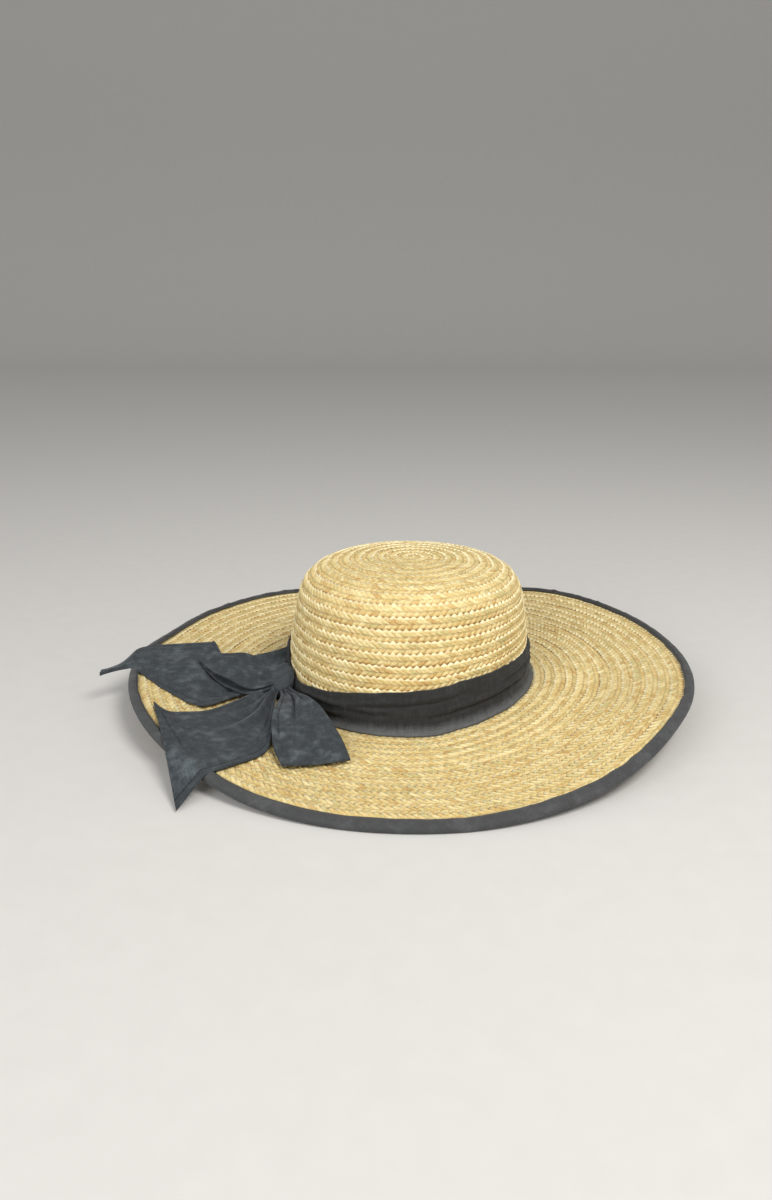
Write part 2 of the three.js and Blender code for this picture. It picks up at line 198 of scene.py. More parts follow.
# Bow pieces from the knot outward: edges a and b in plan from the knot's centre, in shares of
# reach and spread, and their lift in shares of the bow's puff, as is the space in a loop
EDGE_COLUMNS = "ax ay al bx by bl"
UPPER_TAIL = table(
    EDGE_COLUMNS,
    (0.0, -0.05, 0.5, 0.0, 0.08, 0.52),
    (-0.21, -0.32, 0.28, -0.23, 0.15, 0.5),
    (-0.34, -0.56, 0.2, -0.335, 0.32, 0.66),
    (-0.43, -0.53, 0.17, -0.405, 0.52, 0.96),
    (-0.5, -0.43, 0.17, -0.44, 0.53, 0.97),
    (-0.61, -0.28, 0.17, -0.61, 0.45, 0.8),
    (-0.81, 0.04, 0.2, -0.8, 0.4, 0.5),
    (-0.88, 0.05, 0.3, -0.89, 0.19, 0.42),
    (-0.975, -0.08, 0.56, -0.985, 0.03, 0.7),
)
LOWER_TAIL = table(
    EDGE_COLUMNS,
    (0.01, -0.1, 0.42, -0.01, -0.04, 0.44),
    (0.004, -0.38, 0.36, -0.08, -0.2, 0.46),
    (0.022, -0.92, 0.28, -0.17, -0.42, 0.32),
    (0.012, -1.24, 0.18, -0.29, -0.62, 0.2),
    (-0.09, -1.51, 0.22, -0.37, -0.71, 0.22),
    (-0.19, -1.72, 0.23, -0.44, -0.75, 0.24),
    (-0.275, -1.97, 0.16, -0.515, -0.66, 0.34),
)
UPPER_LOOP = table(
    EDGE_COLUMNS + " open",
    (0.05, -0.1, 0.6, 0.0875, 0.7, 1.24, 0.1),
    (-0.26, -0.54, 0.64, -0.24, 0.3, 1.24, 0.22),
    (-0.54, -0.46, 0.82, -0.5, 0.2, 1.36, 0.42),
    (-0.78, -0.2, 0.88, -0.74, 0.22, 1.22, 0.32),
    (-0.95, 0.14, 0.98, -0.88, 0.28, 1.12, 0.16),
)
LOWER_LOOP = table(
    EDGE_COLUMNS + " open",
    (0.0, -0.12, 0.5, 0.045, -0.16, 0.54, 0.1),
    (0.025, -0.42, 0.52, 0.125, -0.5, 0.66, 0.16),
    (0.045, -0.84, 0.78, 0.22, -0.98, 1.04, 0.3),
    (0.025, -1.5, 0.78, 0.32, -1.4, 1.0, 0.4),
    (0.058, -2.16, 0.56, 0.43, -1.94, 0.62, 0.3),
    (0.125, -2.66, 0.31, 0.49, -2.42, 0.32, 0.12),
)

# Creases of the bow's pieces: where each starts and ends, as shares along the piece and across
# it, with its depth and half width in millimetres; a negative depth is a ridge
CREASE_COLUMNS = "s1 t1 s2 t2 deep half"
CREASES: dict[str, Rows] = {
    "bow_end_back": table(
        CREASE_COLUMNS,
        (0.1, 0.4, 0.42, 0.62, 1.4, 2.2),
        (0.4, 0.84, 0.86, 0.8, 1.1, 1.3),
        (0.5, 0.45, 0.82, 0.5, -1.0, 3.5),
        (0.08, 0.1, 0.3, 0.24, 1.6, 1.6),
    ),
    "bow_end_front": table(
        CREASE_COLUMNS,
        (0.06, 0.5, 0.6, 0.7, 4.4, 2.2),
        (0.08, 0.36, 0.6, 0.54, -3.2, 4.2),
        (0.06, 0.7, 0.4, 0.84, 1.5, 1.8),
        (0.1, 0.16, 0.36, 0.2, 1.2, 1.5),
        (0.7, 0.9, 0.97, 0.62, 1.3, 1.2),
        (0.8, 0.1, 0.99, 0.3, 1.8, 0.9),
        (0.93, 0.98, 0.86, 0.3, 1.5, 1.3),
        (0.86, 0.9, 0.8, 0.45, -1.0, 2.2),
        (0.45, 0.3, 0.8, 0.42, -1.0, 4.0),
    ),
    "bow_loop_back": table(
        CREASE_COLUMNS,
        (0.06, 0.3, 0.33, 1.0, 2.6, 1.7),
        (0.1, 0.25, 0.6, 0.5, 1.5, 1.1),
        (0.3, 0.7, 0.8, 0.75, -1.0, 3.0),
    ),
    "bow_loop_front": table(
        CREASE_COLUMNS,
        (0.16, 0.5, 0.66, 0.43, 5.0, 2.2),
        (0.1, 0.72, 0.4, 0.76, 1.9, 1.3),
        (0.1, 0.2, 0.34, 0.24, 1.6, 1.1),
        (0.3, 0.12, 0.98, 0.1, 2.2, 0.8),
        (0.25, 0.6, 0.6, 0.62, -1.6, 2.4),
    ),
}


def mix(low: float | Array, high: float | Array, share: float | Array) -> Array:
    """Value between two others.

    Args:
        low: Value at share 0.
        high: Value at share 1.
        share: Place between them.

    Returns:
        The mixed values.
    """
    return low + (high - low) * share


def ease(value: Array, low: float, high: float) -> Array:
    """Smooth step from 0 at low to 1 at high.

    Args:
        value: Values to step.
        low: Where the step starts.
        high: Where the step ends.

    Returns:
        Shares from 0 to 1.
    """
    share = np.clip((value - low) / (high - low), 0, 1)
    return share * share * (3 - 2 * share)


def hermite(y1: Array, y2: Array, m1: Array, m2: Array, t: Array) -> Array:
    """Hermite curve between two values.

    Args:
        y1: Value at t 0.
        y2: Value at t 1.
        m1: Slope at t 0 over the span.
        m2: Slope at t 1 over the span.
        t: Place in the span.

    Returns:
        The values of the curve.
    """
    t2 = t * t
    t3 = t2 * t
    return (2 * t3 - 3 * t2 + 1) * y1 + (t3 - 2 * t2 + t) * m1 + (3 * t2 - 2 * t3) * y2 + (t3 - t2) * m2


def around(rows: Rows, column: str, angle: Array) -> Array:
    """Smooth value of a column of a table whose rows go once around the hat.

    Args:
        rows: The table.
        column: Name of the column.
        angle: Angles in radians.

    Returns:
        One value for each angle.
    """
    count = len(rows)
    spots = np.array([row["angle"] for row in rows], float)
    values = np.array([row[column] for row in rows], float)
    spots = np.concatenate([spots[-1:] - 360, spots, spots[:2] + 360])
    values = np.concatenate([values[-1:], values, values[:2]])
    turned = (np.degrees(angle) + 180) % 360 - 180
    i = np.clip(np.searchsorted(spots, turned, side="right") - 1, 1, count)
    span = spots[i + 1] - spots[i]
    m1 = (values[i + 1] - values[i - 1]) / (spots[i + 1] - spots[i - 1]) * span
    m2 = (values[i + 2] - values[i]) / (spots[i + 2] - spots[i]) * span
    return hermite(values[i], values[i + 1], m1, m2, (turned - spots[i]) / span)


def along(rows: Rows, column: str, share: Array) -> Array:
    """Smooth value of a column of a table whose rows are evenly spaced.

    Args:
        rows: The table.
        column: Name of the column.
        share: Places from 0 to 1.

    Returns:
        One value for each place.
    """
    last = len(rows) - 1
    values = np.array([row[column] for row in rows], float)
    i = np.clip(np.floor(share * last).astype(int), 0, last - 1)
    before, after = values[np.maximum(i - 1, 0)], values[np.minimum(i + 2, last)]
    m1 = (values[i + 1] - before) / 2
    m2 = (after - values[i]) / 2
    return hermite(values[i], values[i + 1], m1, m2, share * last - i)


def ripple(seed: int, s: Array, t: Array, waves_s: float, waves_t: float) -> Array:
    """Smooth random relief from a few crossed waves.

    Args:
        seed: Seed of the waves.
        s: First coordinate.
        t: Second coordinate.
        waves_s: Typical number of waves for each unit of s.
        waves_t: Typical number of waves for each unit of t.

    Returns:
        Heights of about -1 to 1.
    """
    terms = 7
    rng = np.random.default_rng(seed)
    total = np.zeros(np.broadcast(s, t).shape)
    for _ in range(terms):
        a, b = rng.normal(size=2)
        phase = rng.uniform(0, 2 * math.pi)
        total += np.cos(2 * math.pi * (a * waves_s * s + b * waves_t * t) + phase)
    return total / math.sqrt(terms)


def stacked(x: Array, y: Array, z: Array) -> Array:
    """Points from three arrays of coordinates.

    Args:
        x: Coordinates along X.
        y: Coordinates along Y.
        z: Coordinates along Z.

    Returns:
        An array of points.
    """
    return np.stack(np.broadcast_arrays(x, y, z), axis=-1)


@dataclass(frozen=True)
class HatForm:
    """The shape that all pieces follow, with the sizes of the solids.

    A distance is a length, and a share is a part of one.
    """

    axis: float
    crown_width: float = 0.186
    crown_depth: float = 0.191
    crown_top: float = 0.107
    crown_wall: float = 0.0022
    crown_offset: float = -0.002
    crown_lean: float = 0.0035
    crown_row: float = 0.0088
    brim_radius: float = 0.216
    brim_wall: float = 0.002
    brim_row: float = 0.0083
    brim_lift: float = 0.028
    foot_lift: float = 0.011
    brim_dish: float = 1.4
    row_step: float = 0.0008
    cloth: float = 0.0011
    binding_width: float = 0.008
    band_height: float = 0.033
    band_flare: float = 0.005
    band_crease: float = 0.0009
    edge_droop: float = 0.45
    gap: float = 0.0003
    outline: tuple[Array, Array, Array] = field(init=False)

    def __post_init__(self) -> None:
        """Works out the crown's outline once."""
        object.__setattr__(self, "outline", self._crown_outline())

    def _crown_outline(self) -> tuple[Array, Array, Array]:
        """Samples the centripetal curve through the rows of the crown's shape.

        Returns:
            Distances from the axis, heights and lengths along the curve, from foot to tip.
        """
        samples = 48
        half = self.crown_width / 2
        points = np.array([[row["out"] * half, row["up"] * self.crown_top] for row in CROWN_SHAPE])
        points = np.vstack([2 * points[0] - points[1], points, 2 * points[-1] - points[-2]])
        steps = np.linspace(0, 1, samples, endpoint=False)[:, None]
        traced = []
        for k in range(1, len(points) - 2):
            p0, p1, p2, p3 = points[k - 1 : k + 3]
            d0, d1, d2 = (math.sqrt(np.linalg.norm(b - a)) for a, b in ((p0, p1), (p1, p2), (p2, p3)))
            m1 = ((p1 - p0) / d0 - (p2 - p0) / (d0 + d1) + (p2 - p1) / d1) * d1
            m2 = ((p2 - p1) / d1 - (p3 - p1) / (d1 + d2) + (p3 - p2) / d2) * d1
            traced.append(hermite(p1, p2, m1, m2, steps))
        curve = np.vstack([*traced, points[-2]])
        lengths = np.concatenate([[0], np.cumsum(np.linalg.norm(np.diff(curve, axis=0), axis=1))])
        return curve[:, 0], curve[:, 1], lengths

    @property
    def crown_length(self) -> float:
        """Length of the crown's outline from foot to tip."""
        return float(self.outline[2][-1])

    @property
    def brim_width(self) -> float:
        """Width of the brim from the crown's foot to its edge."""
        return self.brim_radius - self.crown_width / 2

    @property
    def shoulder(self) -> float:
        """Height of the crown's shoulder; the wall below it settles on the wavy brim."""
        return CROWN_SHAPE[SHOULDER_ROW]["up"] * self.crown_top

    @property
    def rest(self) -> float:
        """Height of the middle of the brim's wall where its binding touches the table."""
        return self.cloth + self.gap + self.brim_wall / 2

    def oval(self, angle: Array, half_width: Array) -> Array:
        """Radius of the crown's oval.

        Args:
            angle: Angles in radians.
            half_width: Half width of the oval.

        Returns:
            Distances from the axis.
        """
        depth = half_width * self.crown_depth / self.crown_width
        return 1 / np.hypot(np.cos(angle) / half_width, np.sin(angle) / depth)

    def foot_height(self, angle: Array) -> Array:
        """Height of the brim's wall at the crown's foot, by angle."""
        return self.rest + self.foot_lift * np.maximum(around(WAVE, "foot", angle), 0)

    def seat(self, angle: Array) -> Array:
        """Height on the brim where crown and band start, by angle."""
        return self.foot_height(angle) + self.brim_wall / 2 + self.gap

    def edge_height(self, angle: Array) -> Array:
        """Height of the brim's wall at its outer edge, by angle."""
        return self.rest + self.brim_lift * np.maximum(around(WAVE, "edge", angle), 0)

    def binding_shown(self, angle: Array) -> Array:
        """Share of the binding's width that lies on the brim's upper face, by angle."""
        return around(BINDING_SHOWN, "share", angle)

    def brim_point(self, angle: Array, share: Array, rise: Array) -> Array:
        """A point of the brim.

        Args:
            angle: Angles in radians.
            share: 0 at the crown's foot, 1 at the outer edge.
            rise: Height above the middle of the wall.

        Returns:
            Points in the row frame.
        """
        radius = mix(self.oval(angle, self.crown_width / 2), self.brim_radius, share)
        flat = np.clip(share, 0, 1)
        middle = mix(self.foot_height(angle), self.edge_height(angle), flat**self.brim_dish)
        x = self.axis + self.crown_offset * (1 - flat) + radius * np.cos(angle)
        return stacked(x, radius * np.sin(angle), middle + rise)

    def brim_under(self, x: Array, y: Array) -> Array:
        """Height of the middle of the brim's wall under points in plan, and of its fall beyond.

        Args:
            x: Places along X in the row frame.
            y: Places along Y.

        Returns:
            Heights.
        """
        rounds = 12
        share = np.full(np.shape(x), 0.5)
        for _ in range(rounds):
            from_axis = x - self.axis - self.crown_offset * (1 - np.clip(share, 0, 1))
            angle = np.arctan2(y, from_axis)
            foot = self.oval(angle, self.crown_width / 2)
            share = (np.hypot(from_axis, y) - foot) / (self.brim_radius - foot)
        beyond = np.maximum(share - 1, 0) * self.brim_width
        return self.brim_point(angle, share, 0)[..., 2] - beyond * self.edge_droop

    def leaning(self, angle: Array, radius: Array, z: Array) -> Array:
        """A point around the crown's leaning axis.

        Args:
            angle: Angles in radians.
            radius: Distances from the axis.
            z: Heights above the table.

        Returns:
            Points in the row frame.
        """
        lean = self.axis + self.crown_offset + self.crown_lean * z / self.crown_top
        return stacked(lean + radius * np.cos(angle), radius * np.sin(angle), z)

    def crown_point(self, angle: Array, out: Array, height: Array) -> Array:
        """A point of the crown from its upright section, settled on the wavy brim and leaning.

        Args:
            angle: Angles in radians.
            out: Distances from the axis.
            height: Heights in the upright section.

        Returns:
            Points in the row frame.
        """
        least = 1e-6
        settle = 1 - np.clip(height / self.shoulder, 0, 1)
        z = height + self.seat(angle) * settle
        return self.leaning(angle, self.oval(angle, np.maximum(out, least)), z)

    def crown_skin(self, angle: Array, from_tip: Array, proud: Array) -> Array:
        """A point over the crown's outer face.

        Args:
            angle: Angles in radians.
            from_tip: Distances down the outline from the tip.
            proud: Height above the face.

        Returns:
            Points in the row frame.
        """
        out, up, lengths = self.outline
        spot = np.clip(self.crown_length - from_tip, 0, self.crown_length)
        slope_out, slope_up = np.gradient(out, lengths), np.gradient(up, lengths)
        normal_out = np.interp(spot, lengths, slope_up)
        normal_up = -np.interp(spot, lengths, slope_out)
        r = np.interp(spot, lengths, out) + normal_out * proud
        return self.crown_point(angle, r, np.interp(spot, lengths, up) + normal_up * proud)

    def band_point(self, angle: Array, stand: Array, up: Array) -> Array:
        """A point of the band.

        Args:
            angle: Angles in radians.
            stand: How far it stands out from the crown's face.
            up: Share of the band's height.

        Returns:
            Points in the row frame.
        """
        seat = self.seat(angle)
        top = self.band_height * around(BAND_TOP, "top", angle)
        z = seat + self.row_step + top * up
        height = (z - seat) / (1 - seat / self.shoulder)
        wall = np.interp(height, self.outline[1], self.outline[0])
        return self.leaning(angle, self.oval(angle, wall) + stand, z)


class Wire:
    """A shader socket that takes part in expressions; each operator adds its Math node."""

    def __init__(self, shader: "Shader", socket: bpy.types.NodeSocket) -> None:
        """Wraps a socket of a shader."""
        self.shader = shader
        self.socket = socket

    def math(self, operation: str, *others: "Wire | float") -> "Wire":
        """Adds a Math node on this value.

        Args:
            operation: The node's operation.
            others: Its further operands.

        Returns:
            The node's result.
        """
        return self.shader.math(operation, self, *others)

    def __add__(self, other: "Wire | float") -> "Wire":
        """Sum."""
        return self.math("ADD", other)

    __radd__ = __add__

    def __sub__(self, other: "Wire | float") -> "Wire":
        """Difference."""
        return self.math("SUBTRACT", other)

    def __rsub__(self, other: float) -> "Wire":
        """Difference from a number."""
        return self.shader.math("SUBTRACT", other, self)

    def __mul__(self, other: "Wire | float") -> "Wire":
        """Product."""
        return self.math("MULTIPLY", other)

    __rmul__ = __mul__

    def __truediv__(self, other: "Wire | float") -> "Wire":
        """Quotient."""
        return self.math("DIVIDE", other)

    def __pow__(self, other: "Wire | float") -> "Wire":
        """Power."""
        return self.math("POWER", other)

    def __abs__(self) -> "Wire":
        """Absolute value."""
        return self.math("ABSOLUTE")

    def floor(self) -> "Wire":
        """Whole part."""
        return self.math("FLOOR")

    def fract(self) -> "Wire":
        """Part after the point."""
        return self.math("FRACT")

    def above(self, limit: float) -> "Wire":
        """1 where the value is above a limit, or else 0."""
        return self.math("GREATER_THAN", limit)

    def eased(self, low: float, high: float) -> "Wire":
        """Smooth step of the value.

        Args:
            low: Where the step starts.
            high: Where the step ends.

        Returns:
            The stepped value.
        """
        settings = {"interpolation_type": "SMOOTHSTEP"}
        sockets = {"Value": self, "From Min": low, "From Max": high}
        return self.shader.node("ShaderNodeMapRange", settings, sockets)


class Shader:
    """A node material that is written as expressions on sockets."""

    def __init__(self, name: str) -> None:
        """Starts a material with one Principled shader.

        Args:
            name: Name of the material.
        """
        self.material = bpy.data.materials.new(name)
        self.material.use_nodes = True
        self.tree = self.material.node_tree
        self.surface = self.tree.nodes["Principled BSDF"]

    def node(self, kind: str, settings: dict, sockets: dict, output: int | str = 0) -> Wire:
        """Adds any node.

        Args:
            kind: The node's type.
            settings: Its properties, set first; stops fill a colour ramp.
            sockets: Values or wires of its inputs.
            output: The output to return.

        Returns:
            The chosen output.
        """
        made = self.tree.nodes.new(kind)
        for key, value in settings.items():
            if key == "stops":
                self._fill(made.color_ramp, value)
            else:
                setattr(made, key, value)
        for key, value in sockets.items():
            self._feed(made.inputs[key], value)
        return Wire(self, made.outputs[output])

    def _fill(self, ramp: bpy.types.ColorRamp, stops: list[tuple[float, Triple]]) -> None:
        """Sets the stops of a ramp, from low to high."""
        while len(ramp.elements) < len(stops):
            ramp.elements.new(1)
        for element, (spot, colour) in zip(ramp.elements, stops):
            element.position = spot
            element.color = (*colour, 1)

    def _feed(self, socket: bpy.types.NodeSocket, value: object) -> None:
        """Links a wire to a socket, or sets its value."""
        if isinstance(value, Wire):
            self.tree.links.new(value.socket, socket)
        else:
            socket.default_value = value

    def math(self, operation: str, *operands: Wire | float) -> Wire:
        """Adds a Math node.

        Args:
            operation: Its operation.
            operands: Its inputs in order.

        Returns:
            Its result.
        """
        return self.node("ShaderNodeMath", {"operation": operation}, dict(enumerate(operands)))

    def blend(self, share: Wire, low: Wire | Triple, high: Wire | Triple) -> Wire:
        """Mixes two colours.

        Args:
            share: Share of the second colour.
            low: First colour, a wire or three numbers.
            high: Second colour.

        Returns:
            The mixed colour.
        """
        factor, first, second, result = 0, 6, 7, 2
        pair = [value if isinstance(value, Wire) else (*value, 1) for value in (low, high)]
        sockets = {factor: share, first: pair[0], second: pair[1]}
        return self.node("ShaderNodeMix", {"data_type": "RGBA"}, sockets, result)

    def layered(self, tone: Wire, layers: list[tuple[Wire, Triple]]) -> Wire:
        """Lays colours over a tone, one after another.

        Args:
            tone: The colour underneath.
            layers: Share and colour of each layer, from the lowest to the highest.

        Returns:
            The colour on top.
        """
        for share, colour in layers:
            tone = self.blend(share, tone, colour)
        return tone

    def vector(self, x: Wire | float, y: Wire | float, z: Wire | float = 0.0) -> Wire:
        """Joins three numbers to a vector."""
        return self.node("ShaderNodeCombineXYZ", {}, {"X": x, "Y": y, "Z": z})

    def noise(self, at: Wire, scale: float, detail: float, roughness: float = 0.5) -> Wire:
        """Noise of about 0.3 to 0.7.

        Args:
            at: Where it is read.
            scale: Its scale.
            detail: Its octaves.
            roughness: Strength of the finer octaves.

        Returns:
            The noise.
        """
        sockets = {"Vector": at, "Scale": scale, "Detail": detail, "Roughness": roughness}
        return self.node("ShaderNodeTexNoise", {}, sockets)

    def random(self, at: Wire) -> Wire:
        """One random number for each whole place."""
        return self.node("ShaderNodeTexWhiteNoise", {"noise_dimensions": "3D"}, {"Vector": at})

    def place(self) -> Wire:
        """Place in the hat, in metres."""
        return self.node("ShaderNodeTexCoord", {}, {}, "Object")

    def fabric(self) -> tuple[Wire, Wire]:
        """Both coordinates of the piece's own map."""
        read = self.node("ShaderNodeUVMap", {"uv_map": UV_NAME}, {})
        split = self.node("ShaderNodeSeparateXYZ", {}, {"Vector": read})
        return split, Wire(self, split.socket.node.outputs[1])

    def bump(self, height: Wire, distance: float, strength: float) -> Wire:
        """Normal from a height.

        Args:
            height: Relief from 0 to 1.
            distance: Height of the relief in metres.
            strength: Share of it that shows.

        Returns:
            The normal.
        """
        return self.node("ShaderNodeBump", {}, {"Height": height, "Distance": distance, "Strength": strength})

    def finish(self, **sockets: object) -> bpy.types.Material:
        """Feeds the Principled shader.

        Args:
            sockets: Its inputs, with _ for the spaces of their names.

        Returns:
            The material.
        """
        for key, value in sockets.items():
            self._feed(self.surface.inputs[key.replace("_", " ")], value)
        return self.material


@dataclass(frozen=True)
class StrawFinish:
    """Plaited golden straw: split stalks in two slanting columns that meet at a seam.

    The braid's map counts stalks along it in u. Its v is 0 at the edge under the next turn and 1
    at the toothed edge.

    Attributes:
        slant: Stalks that a column leans from the seam to the edge.
        seam: Place of the seam in v.
        bright: Painted highlight on the tips of the teeth.
        pale: Light stalks and fibres.
        golden: Common stalks.
        amber: Dark fibres and stains, and the painted shade toward the edge under the next turn.
        greenish: Unripe stalks and specks.
        crease: The shade between stalks.
    """

    slant: float = 1.15
    seam: float = 0.625
    bright: Triple = (1.0, 0.94, 0.65)
    pale: Triple = (0.94, 0.82, 0.44)
    golden: Triple = (0.73, 0.555, 0.215)
    amber: Triple = (0.52, 0.29, 0.08)
    greenish: Triple = (0.58, 0.54, 0.25)
    crease: Triple = (0.2, 0.095, 0.025)

    def material(self) -> bpy.types.Material:
        """Builds the material on the braid's map.

        Returns:
            The material.
        """
        sh = Shader("straw")
        u, v = sh.fabric()
        place = sh.place()
        column_shift, column_numbers = 0.5, 517
        inner = v.above(self.seam)
        from_seam = ((self.seam - v) / self.seam).math("MAXIMUM", (v - self.seam) / (1 - self.seam))
        stalks = u - from_seam * self.slant + (1 - inner) * column_shift
        across = stalks.fract()
        number = stalks.floor() + inner * column_numbers
        first, second, third = (sh.random(sh.vector(number, seed)) for seed in (3.0, 11.0, 23.0))
        uneven = 0.3 + third * 0.7

        spots = (0.0, 0.1, 0.45, 0.8, 0.95)
        colours = (self.amber, self.golden, self.pale, self.golden, self.greenish)
        tone = sh.node("ShaderNodeValToRGB", {"stops": list(zip(spots, colours))}, {"Fac": first})

        # Fibres run along each stalk and bend a little, each in its own way
        bend = (third - 0.5) * 0.5 * from_seam
        fibre_at = sh.vector((across + bend) * 6, from_seam * 0.5 + u * 0.1, number * 0.37)
        fibres = sh.noise(fibre_at, 2.8, 5, 0.75)

        # Stains, blotches and specks lie over whole rows, not along the stalks
        stains = sh.noise(place, 30, 3, 0.6)
        blotches = sh.noise(place, 210, 3, 0.7)
        specks = sh.noise(place, 800, 2, 0.6)
        fine = sh.noise(place, 900, 2, 0.6)

        # Shade between the stalks, along the seam and under the next turn's teeth
        bulge = (across * (1 - across) * 4) ** 0.55
        groove = (1 - bulge.eased(0.0, 0.5)) * (0.35 + second * 0.65)
        seam = (1 - from_seam.eased(0.0, 0.22)) * uneven
        covered = 1 - v.eased(0.26, 0.4)
        shade = groove.math("MAXIMUM", seam * 0.6).math("MAXIMUM", covered * 0.88)
        # Painted highlight along the tips of the teeth, weaker in the grooves between stalks
        tip = v.eased(0.86, 0.98) * (1 - groove * 0.8) * uneven

        layers = [
            (stains.eased(0.36, 0.66) * 0.3, self.golden),
            ((1 - fibres.eased(0.34, 0.54)) * 0.8, self.amber),
            (fibres.eased(0.52, 0.66) * 0.85, self.pale),
            (blotches.eased(0.54, 0.7) * 0.6, self.amber),
            ((1 - blotches.eased(0.3, 0.46)) * 0.6, self.pale),
            (fine.eased(0.52, 0.75) * 0.4, self.pale),
            # Painted shade: amber toward the edge that lies under the next turn
            ((1 - v.eased(0.28, 0.54)) * 0.5, self.amber),
            (shade * 0.85, self.crease),
            (specks.eased(0.55, 0.64) * 0.5, self.amber),
            ((1 - specks.eased(0.36, 0.44)) * 0.4, self.greenish),
            (tip * 0.8, self.bright),
        ]
        relief = bulge * (1 - seam * 0.5) * 0.8 + fibres * 0.5 + fine * 0.15
        return sh.finish(
            Base_Color=sh.layered(tone, layers),
            Roughness=0.42 + fibres * 0.22,
            Normal=sh.bump(relief, 0.0006, 0.9),
            Specular_IOR_Level=0.5,
        )


@dataclass(frozen=True)
class ClothFinish:
    """Plain woven cloth with slubs, soft worn patches and, where it has one, a stitched hem.

    Attributes:
        name: Name of the material.
        base: Colour of the cloth.
        worn: Colour of its worn threads.
        thread: Spacing of the threads in metres, as all lengths here.
        bias: Angle of the threads to the piece in radians.
        wear: How much of the worn patches shows.
        hem: Distance of the stitches from the edges, or 0 where there are none.
        cut: Width between the edges.
        painted_light_edge: Width of a paler strip along the first edge, painted light where the cloth turns
            up toward the light, or 0 where there is none.
        stitch: Length of a stitch with its gap.
        stitch_and_groove_shade: Colour of the stitches, and of the line that they lie in as painted shade in
            its groove.
    """

    name: str
    base: Triple
    worn: Triple
    thread: float = 0.0005
    bias: float = 0.0
    wear: float = 0.5
    hem: float = 0.0
    cut: float = 0.0
    painted_light_edge: float = 0.0
    stitch: float = 0.0026
    stitch_and_groove_shade: Triple = (0.009, 0.01, 0.012)

    def material(self) -> bpy.types.Material:
        """Builds the material on the piece's own map, in metres.

        Returns:
            The material.
        """
        sh = Shader(self.name)
        u, v = sh.fabric()
        place = sh.place()
        turn = (math.cos(self.bias), math.sin(self.bias))
        warp = u * turn[0] + v * turn[1]
        weft = v * turn[0] - u * turn[1]
        threads = math.pi / self.thread
        weave = (warp * threads).math("SINE") * (weft * threads).math("SINE")

        # A slub is ten times as long as it is wide
        long, wide = 90, 900
        slub_warp = sh.noise(sh.vector(warp * long, weft * wide), 1.0, 3, 0.6)
        slub_weft = sh.noise(sh.vector(warp * wide, weft * long, 7.0), 1.0, 3, 0.6)
        slubs = (slub_warp + slub_weft) * 0.5

        patches = sh.noise(place, 42, 5, 0.66).eased(0.47, 0.68)
        mottle = sh.noise(place, 170, 3, 0.65).eased(0.38, 0.68)
        lint = sh.noise(place, 620, 2, 0.7).eased(0.55, 0.8)
        share = (patches * 0.65 + mottle * 0.4) * self.wear + (slubs - 0.5) * 0.9 + lint * 0.2
        # Painted light: a paler strip along the first edge, where the band's flared lower edge faces up
        if self.painted_light_edge:
            share = share + (1 - v.eased(0.0, self.painted_light_edge)) * 0.6
        tone = sh.blend(share.eased(-0.1, 1.0), self.base, self.worn)
        relief = weave * 0.25 + slubs + lint * 0.3
        if self.hem:
            from_edge = v.math("MINIMUM", self.cut - v)
            line = 1 - abs(from_edge - self.hem).eased(0.0002, 0.0007)
            stitches = line * (u / self.stitch).fract().above(0.35)
            # Stitches take the thread's colour; the whole stitch line is darkened too as painted shade in its
            # groove
            tone = sh.blend(line * 0.35 + stitches * 0.4, tone, self.stitch_and_groove_shade)
            relief = relief - line * 1.2
        return sh.finish(
            Base_Color=tone,
            Roughness=0.8 + slubs * 0.16,
            Normal=sh.bump(relief, 0.00022, 0.8),
            Specular_IOR_Level=0.28,
            Sheen_Weight=0.12,
            Sheen_Roughness=0.45,
            Sheen_Tint=(0.92, 0.95, 1.0, 1.0),
        )


Shape = Callable[[Array, Array], tuple[Array, Array]]


def grid_piece(name: str, steps: int, cells: int, shape: Shape, weld: bool) -> bpy.types.Object:
    """Makes a piece from a grid whose vertices are moved to their places.

    Args:
        name: Name of the piece.
        steps: Cells along it.
        cells: Cells across it, or around its section.
        shape: Gives points and map places for grid steps and cells.
        weld: Whether it is a closed body whose section meets itself.

    Returns:
        The piece's object.
    """
    grid = bmesh.new()
    bmesh.ops.create_grid(grid, x_segments=steps, y_segments=cells, size=1)
    mesh = bpy.data.meshes.new(name)
    grid.to_mesh(mesh)
    grid.free()
    flat = np.empty(len(mesh.vertices) * 3, np.float32)
    mesh.vertices.foreach_get("co", flat)
    flat = flat.reshape(-1, 3).astype(float)
    i = np.rint((flat[:, 0] + 1) / 2 * steps)
    j = np.rint((flat[:, 1] + 1) / 2 * cells)
    points, places = shape(i, j)
    mesh.vertices.foreach_set("co", points.astype(np.float32).ravel())
    corners = np.empty(len(mesh.loops), np.int32)
    mesh.loops.foreach_get("vertex_index", corners)
    layer = mesh.uv_layers.new(name=UV_NAME)
    layer.data.foreach_set("uv", places[corners].astype(np.float32).ravel())
    if weld:
        close_body(mesh)
    mesh.shade_smooth()
    mesh.update()
    made = bpy.data.objects.new(name, mesh)
    bpy.context.scene.collection.objects.link(made)
    return made


def close_body(mesh: bpy.types.Mesh) -> None:
    """Welds a body's seams, closes its ends and turns its faces outward.

    Args:
        mesh: The mesh to close.
    """
    weld_distance = 2e-6
    body = bmesh.new()
    body.from_mesh(mesh)
    bmesh.ops.remove_doubles(body, verts=body.verts, dist=weld_distance)
    bmesh.ops.dissolve_degenerate(body, edges=body.edges, dist=weld_distance)
    ends = [edge for edge in body.edges if edge.is_boundary]
    bmesh.ops.holes_fill(body, edges=ends)
    bmesh.ops.recalc_face_normals(body, faces=body.faces)
    body.to_mesh(mesh)
    body.free()


